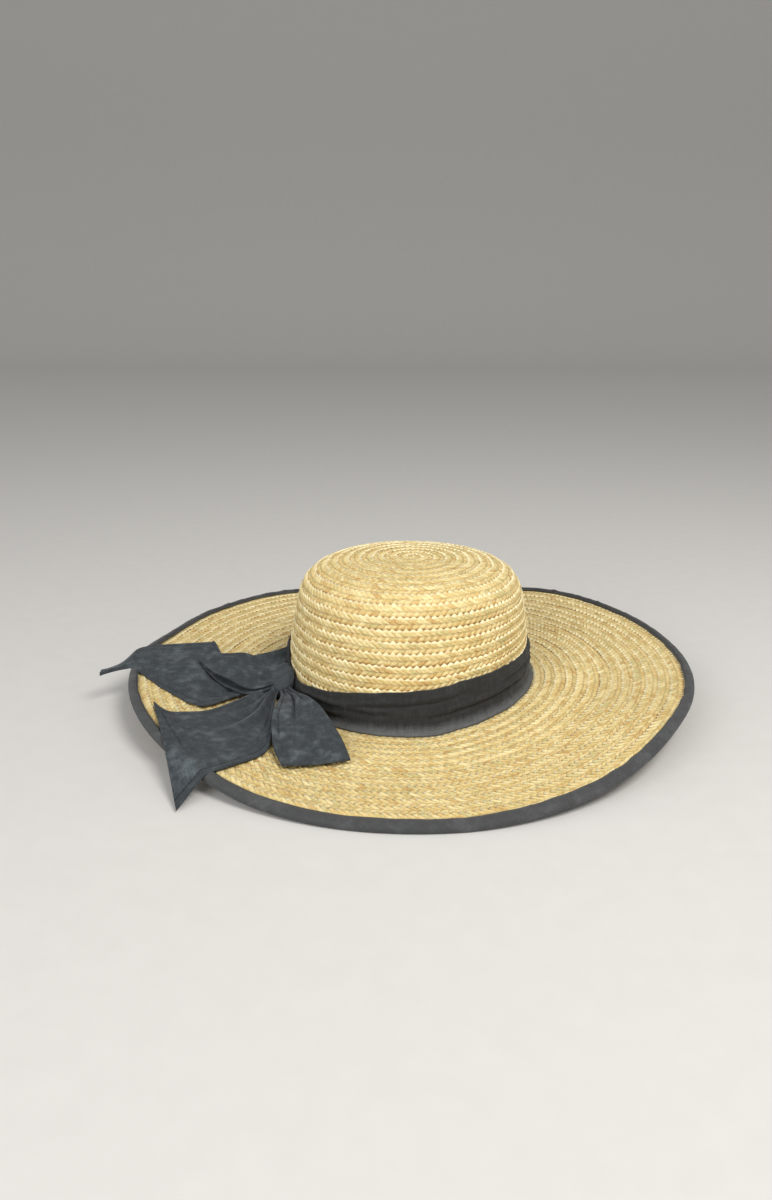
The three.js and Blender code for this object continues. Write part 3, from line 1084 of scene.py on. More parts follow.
def dress(piece: bpy.types.Object, material: bpy.types.Material, slot: Slot, *nodes: str) -> None:
    """Gives a piece its material and body, and hides the solids that it stands for.

    Args:
        piece: The piece.
        material: Its finish.
        slot: Its material slot in the record; not used.
        nodes: The solids that it stands for.
    """
    piece.data.materials.append(material)
    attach(piece, BODY)
    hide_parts(*nodes)
    log.info("%s: %d vertices", piece.name, len(piece.data.vertices))


@dataclass
class Braid:
    """A flat straw plait, wound as a spiral whose inner edge lies over the turn inside it.

    Attributes:
        form: The hat's form.
        finish: The straw, for the seam and slant of its stalks.
        material: The straw's material.
        overlap: How far a turn lies over the one inside it.
        thick: Thickness of the plait.
        tooth: Length of a tooth along the plait.
        tooth_reach: How far a tooth of middle size stands out of the inner edge.
        tooth_sizes: Smallest and largest tooth as shares of that.
        tooth_root: Place in v where the teeth start.
        low: Height of the outer edge, under the next turn.
        high: Height of the inner edge, over the turn before.
        relief: Height of the stalks.
        stalk_spread: How much the stalks differ in height.
        sway: Unevenness of the height along the plait.
        wander: Unevenness of its edge.
        steps_per_tooth: Steps of the mesh for each tooth.
        top_cells: Cells across the upper face.
        under_cells: Cells across the lower face.
    """

    form: HatForm
    finish: StrawFinish
    material: bpy.types.Material
    overlap: float = 0.0025
    thick: float = 0.00095
    tooth: float = 0.0047
    tooth_reach: float = 0.0018
    tooth_sizes: tuple[float, float] = (0.55, 1.3)
    tooth_root: float = 0.72
    low: float = -0.0006
    high: float = 0.001
    relief: float = 0.0005
    stalk_spread: float = 0.3
    sway: float = 0.00012
    wander: float = 0.0003
    steps_per_tooth: int = 4
    top_cells: int = 8
    under_cells: int = 2

    def ribbon(
        self,
        name: str,
        turns: tuple[float, float],
        pitch: float,
        radius: Callable[[Array], Array],
        start: float,
        limits: tuple[float, float],
        place: Callable[[Array, Array, Array], Array],
        seed: int,
    ) -> bpy.types.Object:
        """Winds a stretch of the plait.

        Args:
            name: Name of the piece.
            turns: First and last turn; turn 0 starts at the spiral's start.
            pitch: Distance between turns.
            radius: Radius of the middle of the plait at a turn.
            start: Distance of the plait's inner edge at turn 0.
            limits: Smallest and largest distance that the plait may reach.
            place: Gives points from angle, distance and height.
            seed: Seed of its irregular stalks.

        Returns:
            The piece's object.
        """
        steps_per_turn, spare_teeth, least = 180, 8, 1e-6
        fine = np.linspace(turns[0], turns[1], int((turns[1] - turns[0]) * steps_per_turn) + 1)
        run = 2 * math.pi * radius((fine[1:] + fine[:-1]) / 2) * np.diff(fine)
        teeth_before = np.concatenate([[0], np.cumsum(run)]) / self.tooth
        teeth = int(teeth_before[-1])
        rng = np.random.default_rng(seed)
        tooth_size = rng.uniform(*self.tooth_sizes, teeth + spare_teeth)
        stalk_lift = rng.normal(0, self.stalk_spread, (2, teeth + spare_teeth))
        across_top = [k / self.top_cells for k in range(self.top_cells + 1)]
        across_under = [1 - k / self.under_cells for k in range(self.under_cells + 1)]
        v_of = np.array([*across_top, *across_under, 0.0])
        under_of = np.array([0.0] * len(across_top) + [1.0] * len(across_under) + [0.0])

        def shape(i: Array, j: Array) -> tuple[Array, Array]:
            """Points and map places of the plait for steps along it and cells around it."""
            j = j.astype(int)
            v, under = v_of[j], under_of[j]
            seam = self.finish.seam
            inner = v > seam
            from_seam = np.where(inner, (v - seam) / (1 - seam), (seam - v) / seam)
            u = i / self.steps_per_tooth + self.finish.slant * from_seam
            stalk = i / self.steps_per_tooth + np.where(inner, 0, 0.5) + least
            number, across = np.floor(stalk).astype(int), np.mod(stalk, 1)
            turn = np.interp(u, teeth_before, fine)
            rise = self._rise(v, from_seam, across, stalk_lift[inner.astype(int), number])
            height = mix(self.low, self.high, 1 - (1 - v) ** 1.8)
            height = height + np.where(under > 0, -self.thick, self.relief * rise)
            height = height + self.sway * ripple(seed + 1, turn, v, 9, 0.4)
            near_tip = np.clip((v - self.tooth_root) / (1 - self.tooth_root), 0, 1) ** 1.3
            reach = self.tooth_reach * tooth_size[number] * (1 - np.abs(2 * across - 1)) * near_tip
            inner_edge = start + pitch * turn + self.wander * ripple(seed + 2, turn, turn, 5, 0)
            distance = inner_edge + (pitch + self.overlap) * (1 - v) - reach
            points = place(-2 * math.pi * turn, np.clip(distance, *limits), height)
            return points, np.stack([u, v], axis=-1)

        steps = (teeth - 2) * self.steps_per_tooth
        return grid_piece(name, steps, len(v_of) - 1, shape, weld=True)

    def _rise(self, v: Array, from_seam: Array, across: Array, lift: Array) -> Array:
        """Relief of the stalks as a share of its height.

        Args:
            v: Places across the plait.
            from_seam: Shares of the way from the seam to the edge.
            across: Places across the stalk.
            lift: Random further height of the stalk.

        Returns:
            Shares, below 0 in the grooves and the seam.
        """
        middle = 0.6
        bulge = np.maximum(4 * across * (1 - across), 0) ** 0.6
        dip = 0.5 * np.clip(1 - from_seam / 0.3, 0, 1)
        fade = np.clip((1 - v) / 0.12, 0.6, 1)
        return (bulge - middle) * (1 + lift) * fade - dip


@dataclass
class Crown:
    """Rounded crown: one spiral of plait from its tip to its foot."""

    braid: Braid

    def build(self) -> None:
        """Winds the crown's plait."""
        form = self.braid.form
        rows = round(form.crown_length / form.crown_row)
        pitch = form.crown_length / rows
        out, _, lengths = form.outline
        smallest = 0.003

        def radius(turn: Array) -> Array:
            """Radius of the plait's middle at a turn."""
            spot = form.crown_length - pitch * (turn + MIDDLE)
            return np.maximum(np.interp(spot, lengths, out), smallest)

        turns, limits = (-1, rows), (0.0, form.crown_length)
        piece = self.braid.ribbon("crown_braid", turns, pitch, radius, 0.0, limits, form.crown_skin, 11)
        dress(piece, self.braid.material, Slot.STRAW, "crown")


@dataclass
class Brim:
    """Wide brim: the spiral goes on to the bound edge, in two stretches.

    Attributes:
        braid: The plait.
        split_turn: Turn where the second stretch starts.
        splice: Share of a turn that both stretches have.
        last: Share of a turn that goes on under the binding.
        pressed: Width of the straw that the binding presses flat.
        pressed_end: How far before the binding's edge it is quite flat.
        pressed_top: Greatest height of the flat straw over the wall's face.
        stretch: How much the outermost rows give way where less of the binding shows, as a power.
        rim_top: Height of the plain rim's upper face over the middle of the wall.
        rim_bottom: Height of its lower face.
        rim_width: Width of the rim.
    """

    braid: Braid
    split_turn: int = 7
    splice: float = 0.03
    last: float = 0.3
    pressed: float = 0.004
    pressed_end: float = 0.0005
    pressed_top: float = -0.0002
    stretch: int = 3
    rim_top: float = 0.0003
    rim_bottom: float = -0.0009
    rim_width: float = 0.0023

    def build(self) -> None:
        """Winds the brim's plait and the plain rim under its binding."""
        form = self.braid.form
        start = form.row_step + form.gap
        bound = form.brim_width - form.binding_width - form.gap
        rows = round((bound - start) / form.brim_row)
        pitch = (bound - start) / rows
        limits = (-form.crown_wall, form.brim_width)

        def radius(turn: Array) -> Array:
            """Radius of the plait's middle at a turn."""
            return form.crown_width / 2 + start + pitch * (turn + MIDDLE)

        def place(angle: Array, distance: Array, height: Array) -> Array:
            """A point above the brim's upper face, pressed flat where the binding holds it."""
            bare = form.binding_width * (1 - form.binding_shown(angle))
            moved = bare * np.clip(distance / bound, 0, 1) ** self.stretch
            distance = np.minimum(distance + moved, form.brim_width)
            lip = bound + bare
            pressed = ease(distance, lip - self.pressed, lip - self.pressed_end)
            height = mix(height, np.minimum(height, self.pressed_top), pressed)
            return form.brim_point(angle, distance / form.brim_width, form.brim_wall / 2 + height)

        stretches = (
            ("brim_braid_inner", (-1, self.split_turn + self.splice), 23),
            ("brim_braid_outer", (self.split_turn, rows + self.last), 37),
        )
        for name, turns, seed in stretches:
            piece = self.braid.ribbon(name, turns, pitch, radius, start, limits, place, seed)
            dress(piece, self.braid.material, Slot.STRAW, "brim")
        dress(self._rim(), self.braid.material, Slot.STRAW, "brim")

    def _rim(self) -> bpy.types.Object:
        """Plain edge of the brim inside its binding.

        Returns:
            The rim's object.
        """
        form = self.braid.form
        sides, stalks_per_side = 360, 1.1
        outside, inside = form.brim_width, form.brim_width - self.rim_width
        section = [[inside, self.rim_bottom], [outside, self.rim_bottom]]
        section += [[outside, self.rim_top], [inside, self.rim_top]]
        cells = len(section)
        section = np.array([*section, section[0]])

        def shape(i: Array, j: Array) -> tuple[Array, Array]:
            """Points and map places of the rim."""
            distance, rise = section[j.astype(int)].T
            angle = -2 * math.pi * i / sides
            places = np.stack([i * stalks_per_side, j / cells], axis=-1)
            return form.brim_point(angle, distance / form.brim_width, rise), places

        return grid_piece("brim_rim", sides, cells, shape, weld=True)


@dataclass
class Binding:
    """Bias cloth folded around the brim's edge.

    Attributes:
        form: The hat's form.
        material: The cloth's material.
        sides: Sides of the ring.
        plump: How much the middle of the upper face stands up.
        pucker: Height of the wrinkles.
        wander: Unevenness of the edges.
        flat_steps: Steps across the upper face.
        turn_steps: Steps around the edge.
        under_steps: Steps across the lower face.
        inner_steps: Steps across each face that touches the straw.
    """

    form: HatForm
    material: bpy.types.Material
    sides: int = 900
    plump: float = 0.0012
    pucker: float = 0.00034
    wander: float = 0.0003
    flat_steps: int = 9
    turn_steps: int = 8
    under_steps: int = 4
    inner_steps: int = 3

    def build(self) -> None:
        """Builds the binding as one closed ring."""
        form = self.form
        inside = form.brim_wall / 2 + form.gap
        outside = inside + form.cloth
        nose = form.gap + form.cloth
        path = self._path(inside, outside, nose)
        run = np.concatenate([[0], np.cumsum(np.hypot(*np.diff(path[:, :2], axis=0).T))])
        girth = 2 * math.pi * form.brim_radius

        def shape(i: Array, j: Array) -> tuple[Array, Array]:
            """Points and map places of the ring."""
            j = j.astype(int)
            distance, rise, loose = path[j].T
            angle = 2 * math.pi * (i % self.sides) / self.sides
            x, y = np.cos(angle), np.sin(angle)
            wrinkle = ripple(5, x * 9 + distance * 40, y * 9, 1.0, 1.0)
            wrinkle = wrinkle + 0.7 * ripple(6, x * 24, y * 24, 1.0, 1.0)
            slack = np.maximum(wrinkle, -0.6) * self.pucker * loose
            inward = np.maximum(form.brim_width - distance, 0)
            edge = np.clip(inward / form.binding_width, 0, 1)
            wander = self.wander * ripple(8, x * 6, y * 6, 1, 1) * edge * edge
            shift = inward * (1 - form.binding_shown(angle)) * np.sign(rise)
            points = form.brim_point(angle, (distance + shift + wander) / form.brim_width, rise + slack)
            return points, np.stack([i / self.sides * girth, run[j]], axis=-1)

        piece = grid_piece("edge_binding", self.sides, len(path) - 1, shape, weld=True)
        dress(piece, self.material, Slot.BINDING, "brim_binding")
        strip = 2 * form.binding_width + math.pi * (outside + nose) / 2

    def _path(self, inside: float, outside: float, nose: float) -> Array:
        """Closed path of the section: distance, rise and how loose the cloth is there.

        Args:
            inside: Rise of the cloth's inner face.
            outside: Rise of its outer face.
            nose: How far it stands out beyond the brim.

        Returns:
            Rows of distance, rise and looseness.
        """
        form = self.form
        end, lip = form.brim_width, form.brim_width - form.binding_width
        rows = []
        for k in range(self.flat_steps):
            crown = math.sin(math.pi * (k + 0.3) / (self.flat_steps + 0.6))
            loose = math.sin(math.pi * (k + 1) / (self.flat_steps + 2))
            rows.append((mix(lip, end, k / self.flat_steps), outside + self.plump * crown, loose))
        for k in range(self.turn_steps + 1):
            share = k / self.turn_steps
            bend = math.pi * share
            rows.append((end + nose * math.sin(bend), outside * math.cos(bend), 0.5 * (1 - share)))
        under = [mix(end, lip, k / self.under_steps) for k in range(1, self.under_steps + 1)]
        inner = [mix(lip, end, k / self.inner_steps) for k in range(self.inner_steps + 1)]
        back = [mix(end, lip, k / self.inner_steps) for k in range(self.inner_steps + 1)]
        rows += [(distance, -outside, 0.0) for distance in under]
        rows += [(distance, -inside, 0.0) for distance in inner]
        rows += [(end + form.gap, 0.0, 0.0)]
        rows += [(distance, inside, 0.0) for distance in back]
        return np.array([*rows, rows[0]])


@dataclass
class Band:
    """Cloth band around the crown's foot, creased along its length and flared on the brim.

    Attributes:
        form: The hat's form.
        material: The cloth's material.
        sides: Sides of the ring.
        outer_cells: Cells up the outer face.
        inner_cells: Cells down the inner face.
        flare_top: Share of the height where the flare ends.
        flare_behind: Share of the flare that the inner face follows.
        crease_half: Half width of a crease as a share of the height.
        crease_fade: Share of its half length in which a crease fades out.
        ridge_off: How far above a crease its ridge lies, as a share of the height.
        ridge_half: Half width of the ridge.
        ridge_share: Height of the ridge as a share of the crease's depth.
        softness: Height of the soft waves.
        wander: Unevenness of the upper edge as a share of the height.
        least_wall: Least thickness of the cloth in a crease.
    """

    form: HatForm
    material: bpy.types.Material
    sides: int = 640
    outer_cells: int = 26
    inner_cells: int = 4
    flare_top: float = 0.24
    flare_behind: float = 0.8
    crease_half: float = 0.045
    crease_fade: float = 0.45
    ridge_off: float = 0.1
    ridge_half: float = 0.07
    ridge_share: float = 0.75
    softness: float = 0.00025
    wander: float = 0.012
    least_wall: float = 0.0004

    def flare(self, up: Array) -> Array:
        """How far the band's lower edge flares out, by share of the height."""
        return self.form.band_flare * np.clip(1 - up / self.flare_top, 0, 1) ** 1.6

    def creased(self, angle: Array, up: Array) -> Array:
        """Relief of the creases.

        Args:
            angle: Angles in radians.
            up: Share of the band's height.

        Returns:
            Heights, below 0 in a crease.
        """
        relief = np.zeros(up.shape)
        for row in BAND_CREASES:
            half = (row["end"] - row["start"]) / 2
            middle = row["start"] + half
            off = (np.degrees(angle) - middle + 180) % 360 - 180
            fade = ease(1 - np.abs(off) / half, 0, self.crease_fade)
            line = mix(row["up1"], row["up2"], np.clip(off / half / 2 + 0.5, 0, 1))
            crease = np.exp(-(((up - line) / self.crease_half) ** 2))
            ridge = np.exp(-(((up - line - self.ridge_off) / self.ridge_half) ** 2))
            relief -= (crease - self.ridge_share * ridge) * fade * row["deep"] * MILLIMETRE
        return relief

    def stand(self, angle: Array, up: Array) -> Array:
        """How far the band's outer face stands out.

        Args:
            angle: Angles in radians.
            up: Share of the band's height.

        Returns:
            Distances from the crown's face.
        """
        form = self.form
        inner = form.row_step + form.gap
        puff = form.band_crease * np.sin(math.pi * np.clip(up, 0, 1)) ** 0.6
        soft = self.softness * ripple(3, np.cos(angle) * 4, np.sin(angle) * 4 + up, 1.2, 1.2)
        face = inner + form.cloth + self.flare(up) + puff + self.creased(angle, up) + soft
        return np.maximum(face, inner + self.least_wall)

    def build(self) -> None:
        """Builds the band as one closed ring."""
        form = self.form
        up_outer = [k / self.outer_cells for k in range(self.outer_cells + 1)]
        up_inner = [1 - k / self.inner_cells for k in range(self.inner_cells + 1)]
        ups = np.array([*up_outer, *up_inner, 0.0])
        outer_of = np.array([True] * len(up_outer) + [False] * len(up_inner) + [True])
        girth = math.pi * (form.crown_width + form.crown_depth) / 2

        def shape(i: Array, j: Array) -> tuple[Array, Array]:
            """Points and map places of the ring."""
            j = j.astype(int)
            angle = 2 * math.pi * (i % self.sides) / self.sides
            up = ups[j]
            back = form.row_step + form.gap + self.flare(up) * self.flare_behind
            stand = np.where(outer_of[j], self.stand(angle, up), back)
            edge = self.wander * ripple(9, np.cos(angle) * 5, np.sin(angle) * 5, 1, 1) * up
            points = form.band_point(angle, stand, up + edge)
            return points, np.stack([i / self.sides * girth, up * form.band_height], axis=-1)

        piece = grid_piece("band_wrap", self.sides, len(ups) - 1, shape, weld=True)
        dress(piece, self.material, Slot.BAND, "hat_band")


@dataclass(frozen=True)
class Strip:
    """A strip of cloth that makes a loop or an end of the bow.

    Attributes:
        name: Name of the piece.
        node: The solid that it stands for.
        rows: Its table.
        reach: Length that the table's x columns are shares of.
        spread: Length that its y columns are shares of.
        cut: Width and length of the strip.
        seed: Seed of its waves.
    """

    name: str
    node: str
    rows: Rows
    reach: float
    spread: float
    cut: tuple[float, float]
    seed: int


@dataclass
class Bow:
    """Knot, two loops and two hanging ends.

    Attributes:
        form: The hat's form.
        cloth: Material of the loops.
        hemmed: Material of the ends, with stitched edges.
        wrap: Material of the knot, the loops' cloth made lighter as painted light.
        ends: The hanging ends.
        loops: The loops.
        knot_angle: Where the knot sits on the band.
        knot_width: Length of the knot along the band.
        knot_height: Its height.
        knot_depth: Its depth.
        knot_clear: Height of the brim's foot under it as a share of the foot's lift.
        knot_swell: How much further it stands out on the side away from the crown.
        knot_stretch: How much the wrap adds to its height.
        knot_reach: How much the wrap adds to its width.
        knot_tuck: How far it is pressed into the band.
        knot_slant: How much its outer side drops.
        puff: Length that all lifts of the tables are shares of.
        pleat: Height of the wide pleats at the knot.
        gather: Height of the narrow pleats at the knot.
        wave: Height of the soft waves further out.
        thick: Thickness of the cloth.
        hem_rise: How much the turned hem stands up.
        settle: How far the edges of the ends hang below their middle.
        above_straw: Least height over the middle of the brim's wall.
    """

    form: HatForm
    cloth: bpy.types.Material
    hemmed: bpy.types.Material
    wrap: bpy.types.Material
    ends: tuple[Strip, ...] = (
        Strip("bow_end_back", "bow_tail_upper", UPPER_TAIL, 0.1385, 0.08, (END_WIDTH, 0.16), 41),
        Strip("bow_end_front", "bow_tail_lower", LOWER_TAIL, 0.16, 0.08, (END_WIDTH, 0.17), 43),
    )
    loops: tuple[Strip, ...] = (
        Strip("bow_loop_back", "bow_loop_upper", UPPER_LOOP, 0.064, 0.044, (0.03, 0.125), 47),
        Strip("bow_loop_front", "bow_loop_lower", LOWER_LOOP, 0.12, 0.044, (0.04, 0.235), 53),
    )
    knot_angle: float = math.radians(-160)
    knot_width: float = 0.028
    knot_height: float = 0.017
    knot_depth: float = 0.016
    knot_clear: float = 0.05
    knot_swell: float = 1.55
    knot_stretch: float = 1.15
    knot_reach: float = 1.12
    knot_tuck: float = 0.0014
    knot_slant: float = 0.5
    puff: float = 0.02
    pleat: float = 0.0014
    gather: float = 0.0019
    wave: float = 0.0009
    thick: float = 0.0009
    hem_rise: float = 0.0005
    settle: float = 0.0016
    above_straw: float = 0.0026

    def build(self) -> None:
        """Builds the knot, the ends and the loops."""
        self._knot()
        for strip in self.ends:
            self._end(strip)
        for strip in self.loops:
            self._loop(strip)

    def knot_centre(self) -> Array:
        """Centre of the knot, against the band and just above the brim."""
        form = self.form
        stand = form.row_step + form.cloth + form.band_crease + 2 * form.gap + self.knot_depth / 2
        foot = form.band_point(np.array(self.knot_angle), stand, 0.0)
        return foot + np.array([0, 0, form.foot_lift * self.knot_clear + self.knot_height / 2])

    def laid(self, strip: Strip, s: Array, t: Array, lift: Array) -> Array:
        """A point of a strip laid over the brim.

        Args:
            strip: The strip.
            s: Share along it from the knot.
            t: Share across it from edge a to edge b.
            lift: Further height.

        Returns:
            Points in the row frame.
        """
        soft = 0.0004
        knot = self.knot_centre()
        middle = {}
        for axis in "xyl":
            sides = (along(strip.rows, "a" + axis, s), along(strip.rows, "b" + axis, s))
            middle[axis] = mix(*sides, t)
        x = knot[0] + middle["x"] * strip.reach
        y = knot[1] + middle["y"] * strip.spread
        height = middle["l"] * self.puff + lift
        height = self.above_straw + soft * np.logaddexp(0, (height - self.above_straw) / soft)
        return stacked(x, y, self.form.brim_under(x, y) + height)

    def folds(self, s: Array, t: Array, seed: int) -> Array:
        """Pleats that run out from the knot and die away, with soft waves beyond.

        Args:
            s: Share along the piece.
            t: Share across it.
            seed: Seed of the waves.

        Returns:
            Heights.
        """
        pleats = self.pleat * np.cos(4 * math.pi * t) * (1 - s) ** 2
        narrow = np.abs(np.sin(math.pi * (3.6 * t + 0.35 * s + 0.17 * seed)))
        gathers = self.gather * (narrow**0.5 - 0.7) * np.clip(1 - s / 0.62, 0, 1) ** 1.3
        waves = self.wave * ripple(seed, s * 2.2, t, 0.7, 0.8) * ease(s, 0.1, 0.6)
        return pleats + gathers + waves

    def creases(self, strip: Strip, s: Array, t: Array, length: float) -> Array:
        """Single creases of a strip.

        Args:
            strip: The strip.
            s: Share along its visible stretch.
            t: Share across it.
            length: Length of that stretch.

        Returns:
            Heights, below 0 in a crease.
        """
        width = strip.cut[0]
        total = np.zeros(np.broadcast(s, t).shape)
        for row in CREASES[strip.name]:
            run = np.array([(row["s2"] - row["s1"]) * length, (row["t2"] - row["t1"]) * width])
            x, y = (s - row["s1"]) * length, (t - row["t1"]) * width
            share = np.clip((x * run[0] + y * run[1]) / (run @ run), 0, 1)
            away = np.hypot(x - share * run[0], y - share * run[1]) / (row["half"] * MILLIMETRE)
            fade = np.sin(math.pi * (0.12 + 0.8 * share)) ** 0.7
            total -= row["deep"] * MILLIMETRE * fade * np.exp(-(away**1.5))
        return total

    def _cloth(
        self,
        strip: Strip,
        steps: int,
        cells: int,
        point: Callable[[Array, Array], Array],
        finish: bpy.types.Material,
    ) -> bpy.types.Object:
        """Makes the cloth of a strip from its surface.

        Args:
            strip: The strip.
            steps: Cells along it.
            cells: Cells across it.
            point: Its surface by two shares.
            finish: Its material.

        Returns:
            The piece's object.
        """
        width, length = strip.cut

        def shape(i: Array, j: Array) -> tuple[Array, Array]:
            """Points and map places of the cloth."""
            s, t = i / steps, j / cells
            return point(s, t), np.stack([s * length, t * width], axis=-1)

        piece = grid_piece(strip.name, steps, cells, shape, weld=False)
        wall = piece.modifiers.new("wall", "SOLIDIFY")
        wall.thickness = self.thick
        wall.offset = 0
        dress(piece, finish, Slot.BAND, strip.node)
        return piece

    def _end(self, strip: Strip) -> None:
        """Makes a hanging end with a turned hem along its edges.

        Args:
            strip: The strip.
        """
        in_knot, slanted = 0.03, 0.8
        width, length = strip.cut

        def point(s: Array, t: Array) -> Array:
            """A point of the end; it starts inside the knot."""
            s = mix(in_knot, 1.0, s)
            edge = np.minimum(t, 1 - t) * width
            hem = self.hem_rise * (1 - ease(edge, 0.002, 0.0036)) * ease(s, 0.2, 0.4)
            settled = self.settle * (1 - ease(edge, 0, 0.012)) * ease(s, 0.3, 0.5)
            lift = self.folds(s, t, strip.seed) + self.creases(strip, s, t, length) + hem - settled
            return self.laid(strip, s, t, lift)

        piece = self._cloth(strip, 150, 56, point, self.hemmed)
        slanted * width * length

    def _loop(self, strip: Strip) -> None:
        """Makes a loop that goes out, folds back and returns under itself.

        Args:
            strip: The strip.
        """
        in_knot = 0.004

        def point(s: Array, t: Array) -> Array:
            """A point of the loop; both ends start inside the knot."""
            s = mix(in_knot, 1 - in_knot, s)
            there, side = np.sin(math.pi * s), np.cos(math.pi * s)
            gap = along(strip.rows, "open", there) * self.puff
            creased = self.creases(strip, there, t, strip.cut[1] / 2) * ease(side, -0.2, 0.3)
            lift = gap * (side - 1) * 0.5 + self.folds(there, t, strip.seed) + creased
            return self.laid(strip, there, t, lift)

        piece = self._cloth(strip, 170, 44, point, self.cloth)

    def _knot(self) -> None:
        """Makes the knot: cloth wrapped around the bow's waist, with folds across it."""
        columns, rings, more_than_verts = 72, 44, 4096
        name = "bow_knot_wrap"
        centre = self.knot_centre()

        def order(face: bmesh.types.BMFace) -> int:
            """A number of its own for each face, because a new ball has its faces in any order."""
            corners = sorted(vert.index for vert in face.verts)
            return sum(more_than_verts**k * corner for k, corner in enumerate(corners))

        body = bmesh.new()
        bmesh.ops.create_uvsphere(body, u_segments=columns, v_segments=rings, radius=1)
        body.verts.index_update()
        body.faces.sort(key=order)
        layer = body.loops.layers.uv.new(UV_NAME)
        for face in body.faces:
            for loop in face.loops:
                _, y, z = loop.vert.co
                loop[layer].uv = (math.asin(max(-1, min(1, z))) * self.knot_height, y * self.knot_width / 2)
        for vert in body.verts:
            vert.co = self._wrapped(centre, vert.co)
        mesh = bpy.data.meshes.new(name)
        body.to_mesh(mesh)
        body.free()
        mesh.shade_smooth()
        piece = bpy.data.objects.new(name, mesh)
        bpy.context.scene.collection.objects.link(piece)
        dress(piece, self.wrap, Slot.BAND, "bow_knot")

    def _wrapped(self, centre: Array, ball: Triple) -> Triple:
        """Place of a point of the knot.

        Args:
            centre: Centre of the knot.
            ball: The point on a ball: away from the crown, along the band and up.

        Returns:
            The point in the row frame.
        """
        roundness, fold_count, small_count = 0.7, 2.3, 11
        fold_depth, small_depth, fold_middle = 0.6, 0.09, 0.75
        x, y, z = (math.copysign(abs(c) ** roundness, c) for c in ball)
        phase = 2.3 * y + 0.8 * z + 0.3 * math.sin(2.6 * z + 0.8 * x) + 0.3
        fold = abs(math.sin(fold_count * phase)) ** 0.5
        small = small_depth * math.sin(small_count * phase + 2 * x)
        swell = 1 + fold_depth * (fold - fold_middle + small) * (1 - 0.5 * abs(y) ** 3)
        waist = 1 - 0.1 * (1 - y * y) * abs(z) ** 3
        outward = self.knot_swell if x > 0 else 1.0
        dx = x * self.knot_depth / 2 * swell * outward - self.knot_tuck
        dy = y * self.knot_width / 2 * self.knot_reach * (1 + 0.05 * math.sin(5 * z + 1))
        dz = z * self.knot_height / 2 * self.knot_stretch * waist * (1 + 0.7 * (swell - 1))
        cos, sin = math.cos(self.knot_angle), math.sin(self.knot_angle)
        place = (centre[0] + dx * cos - dy * sin, centre[1] + dx * sin + dy * cos)
        straw = float(self.form.brim_under(np.array(place[0]), np.array(place[1]))) + self.above_straw
        return (*place, max(centre[2] + dz - self.knot_slant * dx, straw))


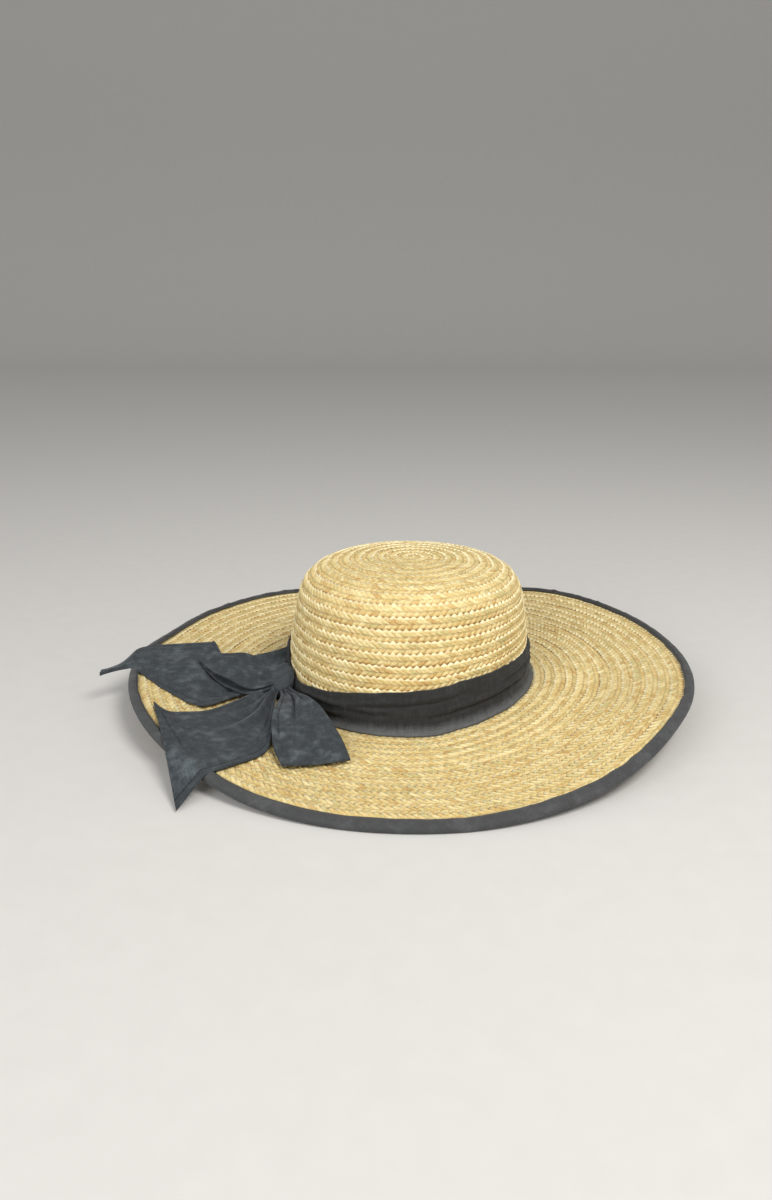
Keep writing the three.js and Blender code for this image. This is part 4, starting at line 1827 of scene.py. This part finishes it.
@dataclass
class Studio:
    """Camera at the photo's angle, pale floor that sweeps up behind, and soft light.

    Attributes:
        eye: Place of the camera.
        pitch_down: How far it looks down.
        sensor: Height of its sensor in millimetres.
        focal_pixels: Focal length in pixels of the photo.
        frame_height: Height of the photo in pixels.
        world: Strength of the light from all around.
    """

    eye: Triple = (-0.0087, -0.65, 0.282)
    pitch_down: float = math.radians(17.9)
    sensor: float = 36.0
    focal_pixels: float = 867.0
    frame_height: float = 1200.0
    world: float = 0.48

    def build(self) -> None:
        """Sets up camera, floor and lights."""
        self._camera()
        self._floor()
        self._lamp("key", (0.6, -0.75, 1.3), 0.6, 16.0, (1.0, 0.98, 0.95))
        self._lamp("fill", (-1.0, -1.6, 0.9), 1.4, 22.0, (1.0, 1.0, 1.0))
        world = bpy.data.worlds.new("studio")
        world.use_nodes = True
        background = world.node_tree.nodes["Background"]
        background.inputs["Color"].default_value = (1.0, 0.99, 0.97, 1)
        background.inputs["Strength"].default_value = self.world
        bpy.context.scene.world = world
        bpy.context.scene.view_settings.view_transform = "Standard"

    def _camera(self) -> None:
        """Makes the camera."""
        lens = bpy.data.cameras.new("camera")
        lens.sensor_fit = "VERTICAL"
        lens.sensor_height = self.sensor
        lens.lens = self.sensor * self.focal_pixels / self.frame_height
        camera = bpy.data.objects.new("camera", lens)
        camera.location = self.eye
        camera.rotation_euler = (math.pi / 2 - self.pitch_down, 0, 0)
        bpy.context.scene.collection.objects.link(camera)
        bpy.context.scene.camera = camera

    def _lamp(self, name: str, place: Triple, size: float, power: float, colour: Triple) -> None:
        """Makes an area light that looks at the hat.

        Args:
            name: Its name.
            place: Its place.
            size: Side of its square.
            power: Its power in watts.
            colour: Its colour.
        """
        light = bpy.data.lights.new(name, "AREA")
        light.size = size
        light.energy = power
        light.color = colour
        lamp = bpy.data.objects.new(name, light)
        lamp.location = place
        away = np.array(place) / np.linalg.norm(place)
        lamp.rotation_euler = (math.acos(away[2]), 0, math.atan2(away[1], away[0]) + math.pi / 2)
        bpy.context.scene.collection.objects.link(lamp)

    def _floor(self) -> None:
        """Makes the floor, which sweeps up far behind the hat."""
        half, front, back, bend, wall = 6.0, 3.0, 5.0, 1.5, 4.0
        cells = 40
        curve = bend * math.pi / 2
        length = front + back + curve + wall

        def shape(i: Array, j: Array) -> tuple[Array, Array]:
            """Points and map places of the floor."""
            run = j / cells * length - front
            turn = np.clip((run - back) / bend, 0, math.pi / 2)
            y = np.minimum(run, back) + bend * np.sin(turn)
            z = bend * (1 - np.cos(turn)) + np.maximum(run - back - curve, 0)
            return stacked((i - 1) * half, y, z), np.stack([i, j], axis=-1)

        floor = grid_piece("floor", 2, cells, shape, weld=False)
        sh = Shader("floor")
        grain = sh.noise(sh.place(), 60, 3)
        tone = sh.blend(grain, (0.6, 0.59, 0.57), (0.64, 0.63, 0.61))
        floor.data.materials.append(sh.finish(Base_Color=tone, Roughness=0.85))


def main() -> None:
    """Builds the studio and every piece of the hat."""
    logging.basicConfig(level=logging.INFO, format="%(name)s %(message)s")
    low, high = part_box("brim")
    form = HatForm(axis=(low.x + high.x) / 2)
    Studio().build()

    straw = StrawFinish()
    braid = Braid(form, straw, straw.material())
    Crown(braid).build()
    Brim(braid).build()

    faded = (0.135, 0.14, 0.142)
    slate = ClothFinish("slate_binding", (0.049, 0.051, 0.0515), faded, bias=math.pi / 4, wear=0.35)
    slate = replace(slate, hem=0.0014, cut=ONE_HEM)
    Binding(form, slate.material()).build()

    # The band's paler lower edge is painted light on its upward flare
    dark = ClothFinish("band_cloth", (0.0185, 0.019, 0.0185), faded, wear=0.1, painted_light_edge=0.009)
    Band(form, dark.material()).build()

    charcoal = ClothFinish("charcoal_cloth", (0.026, 0.032, 0.037), (0.128, 0.152, 0.17))
    hemmed = replace(charcoal, name="hemmed_cloth", hem=0.0036, cut=END_WIDTH)
    # The knot's lighter copy of the loops' cloth is painted light
    wrap = replace(charcoal, name="knot_cloth_painted_light", base=(0.037, 0.044, 0.05), wear=0.3)
    Bow(form, charcoal.material(), hemmed.material(), wrap.material()).build()


if __name__ == "__main__":
    main()
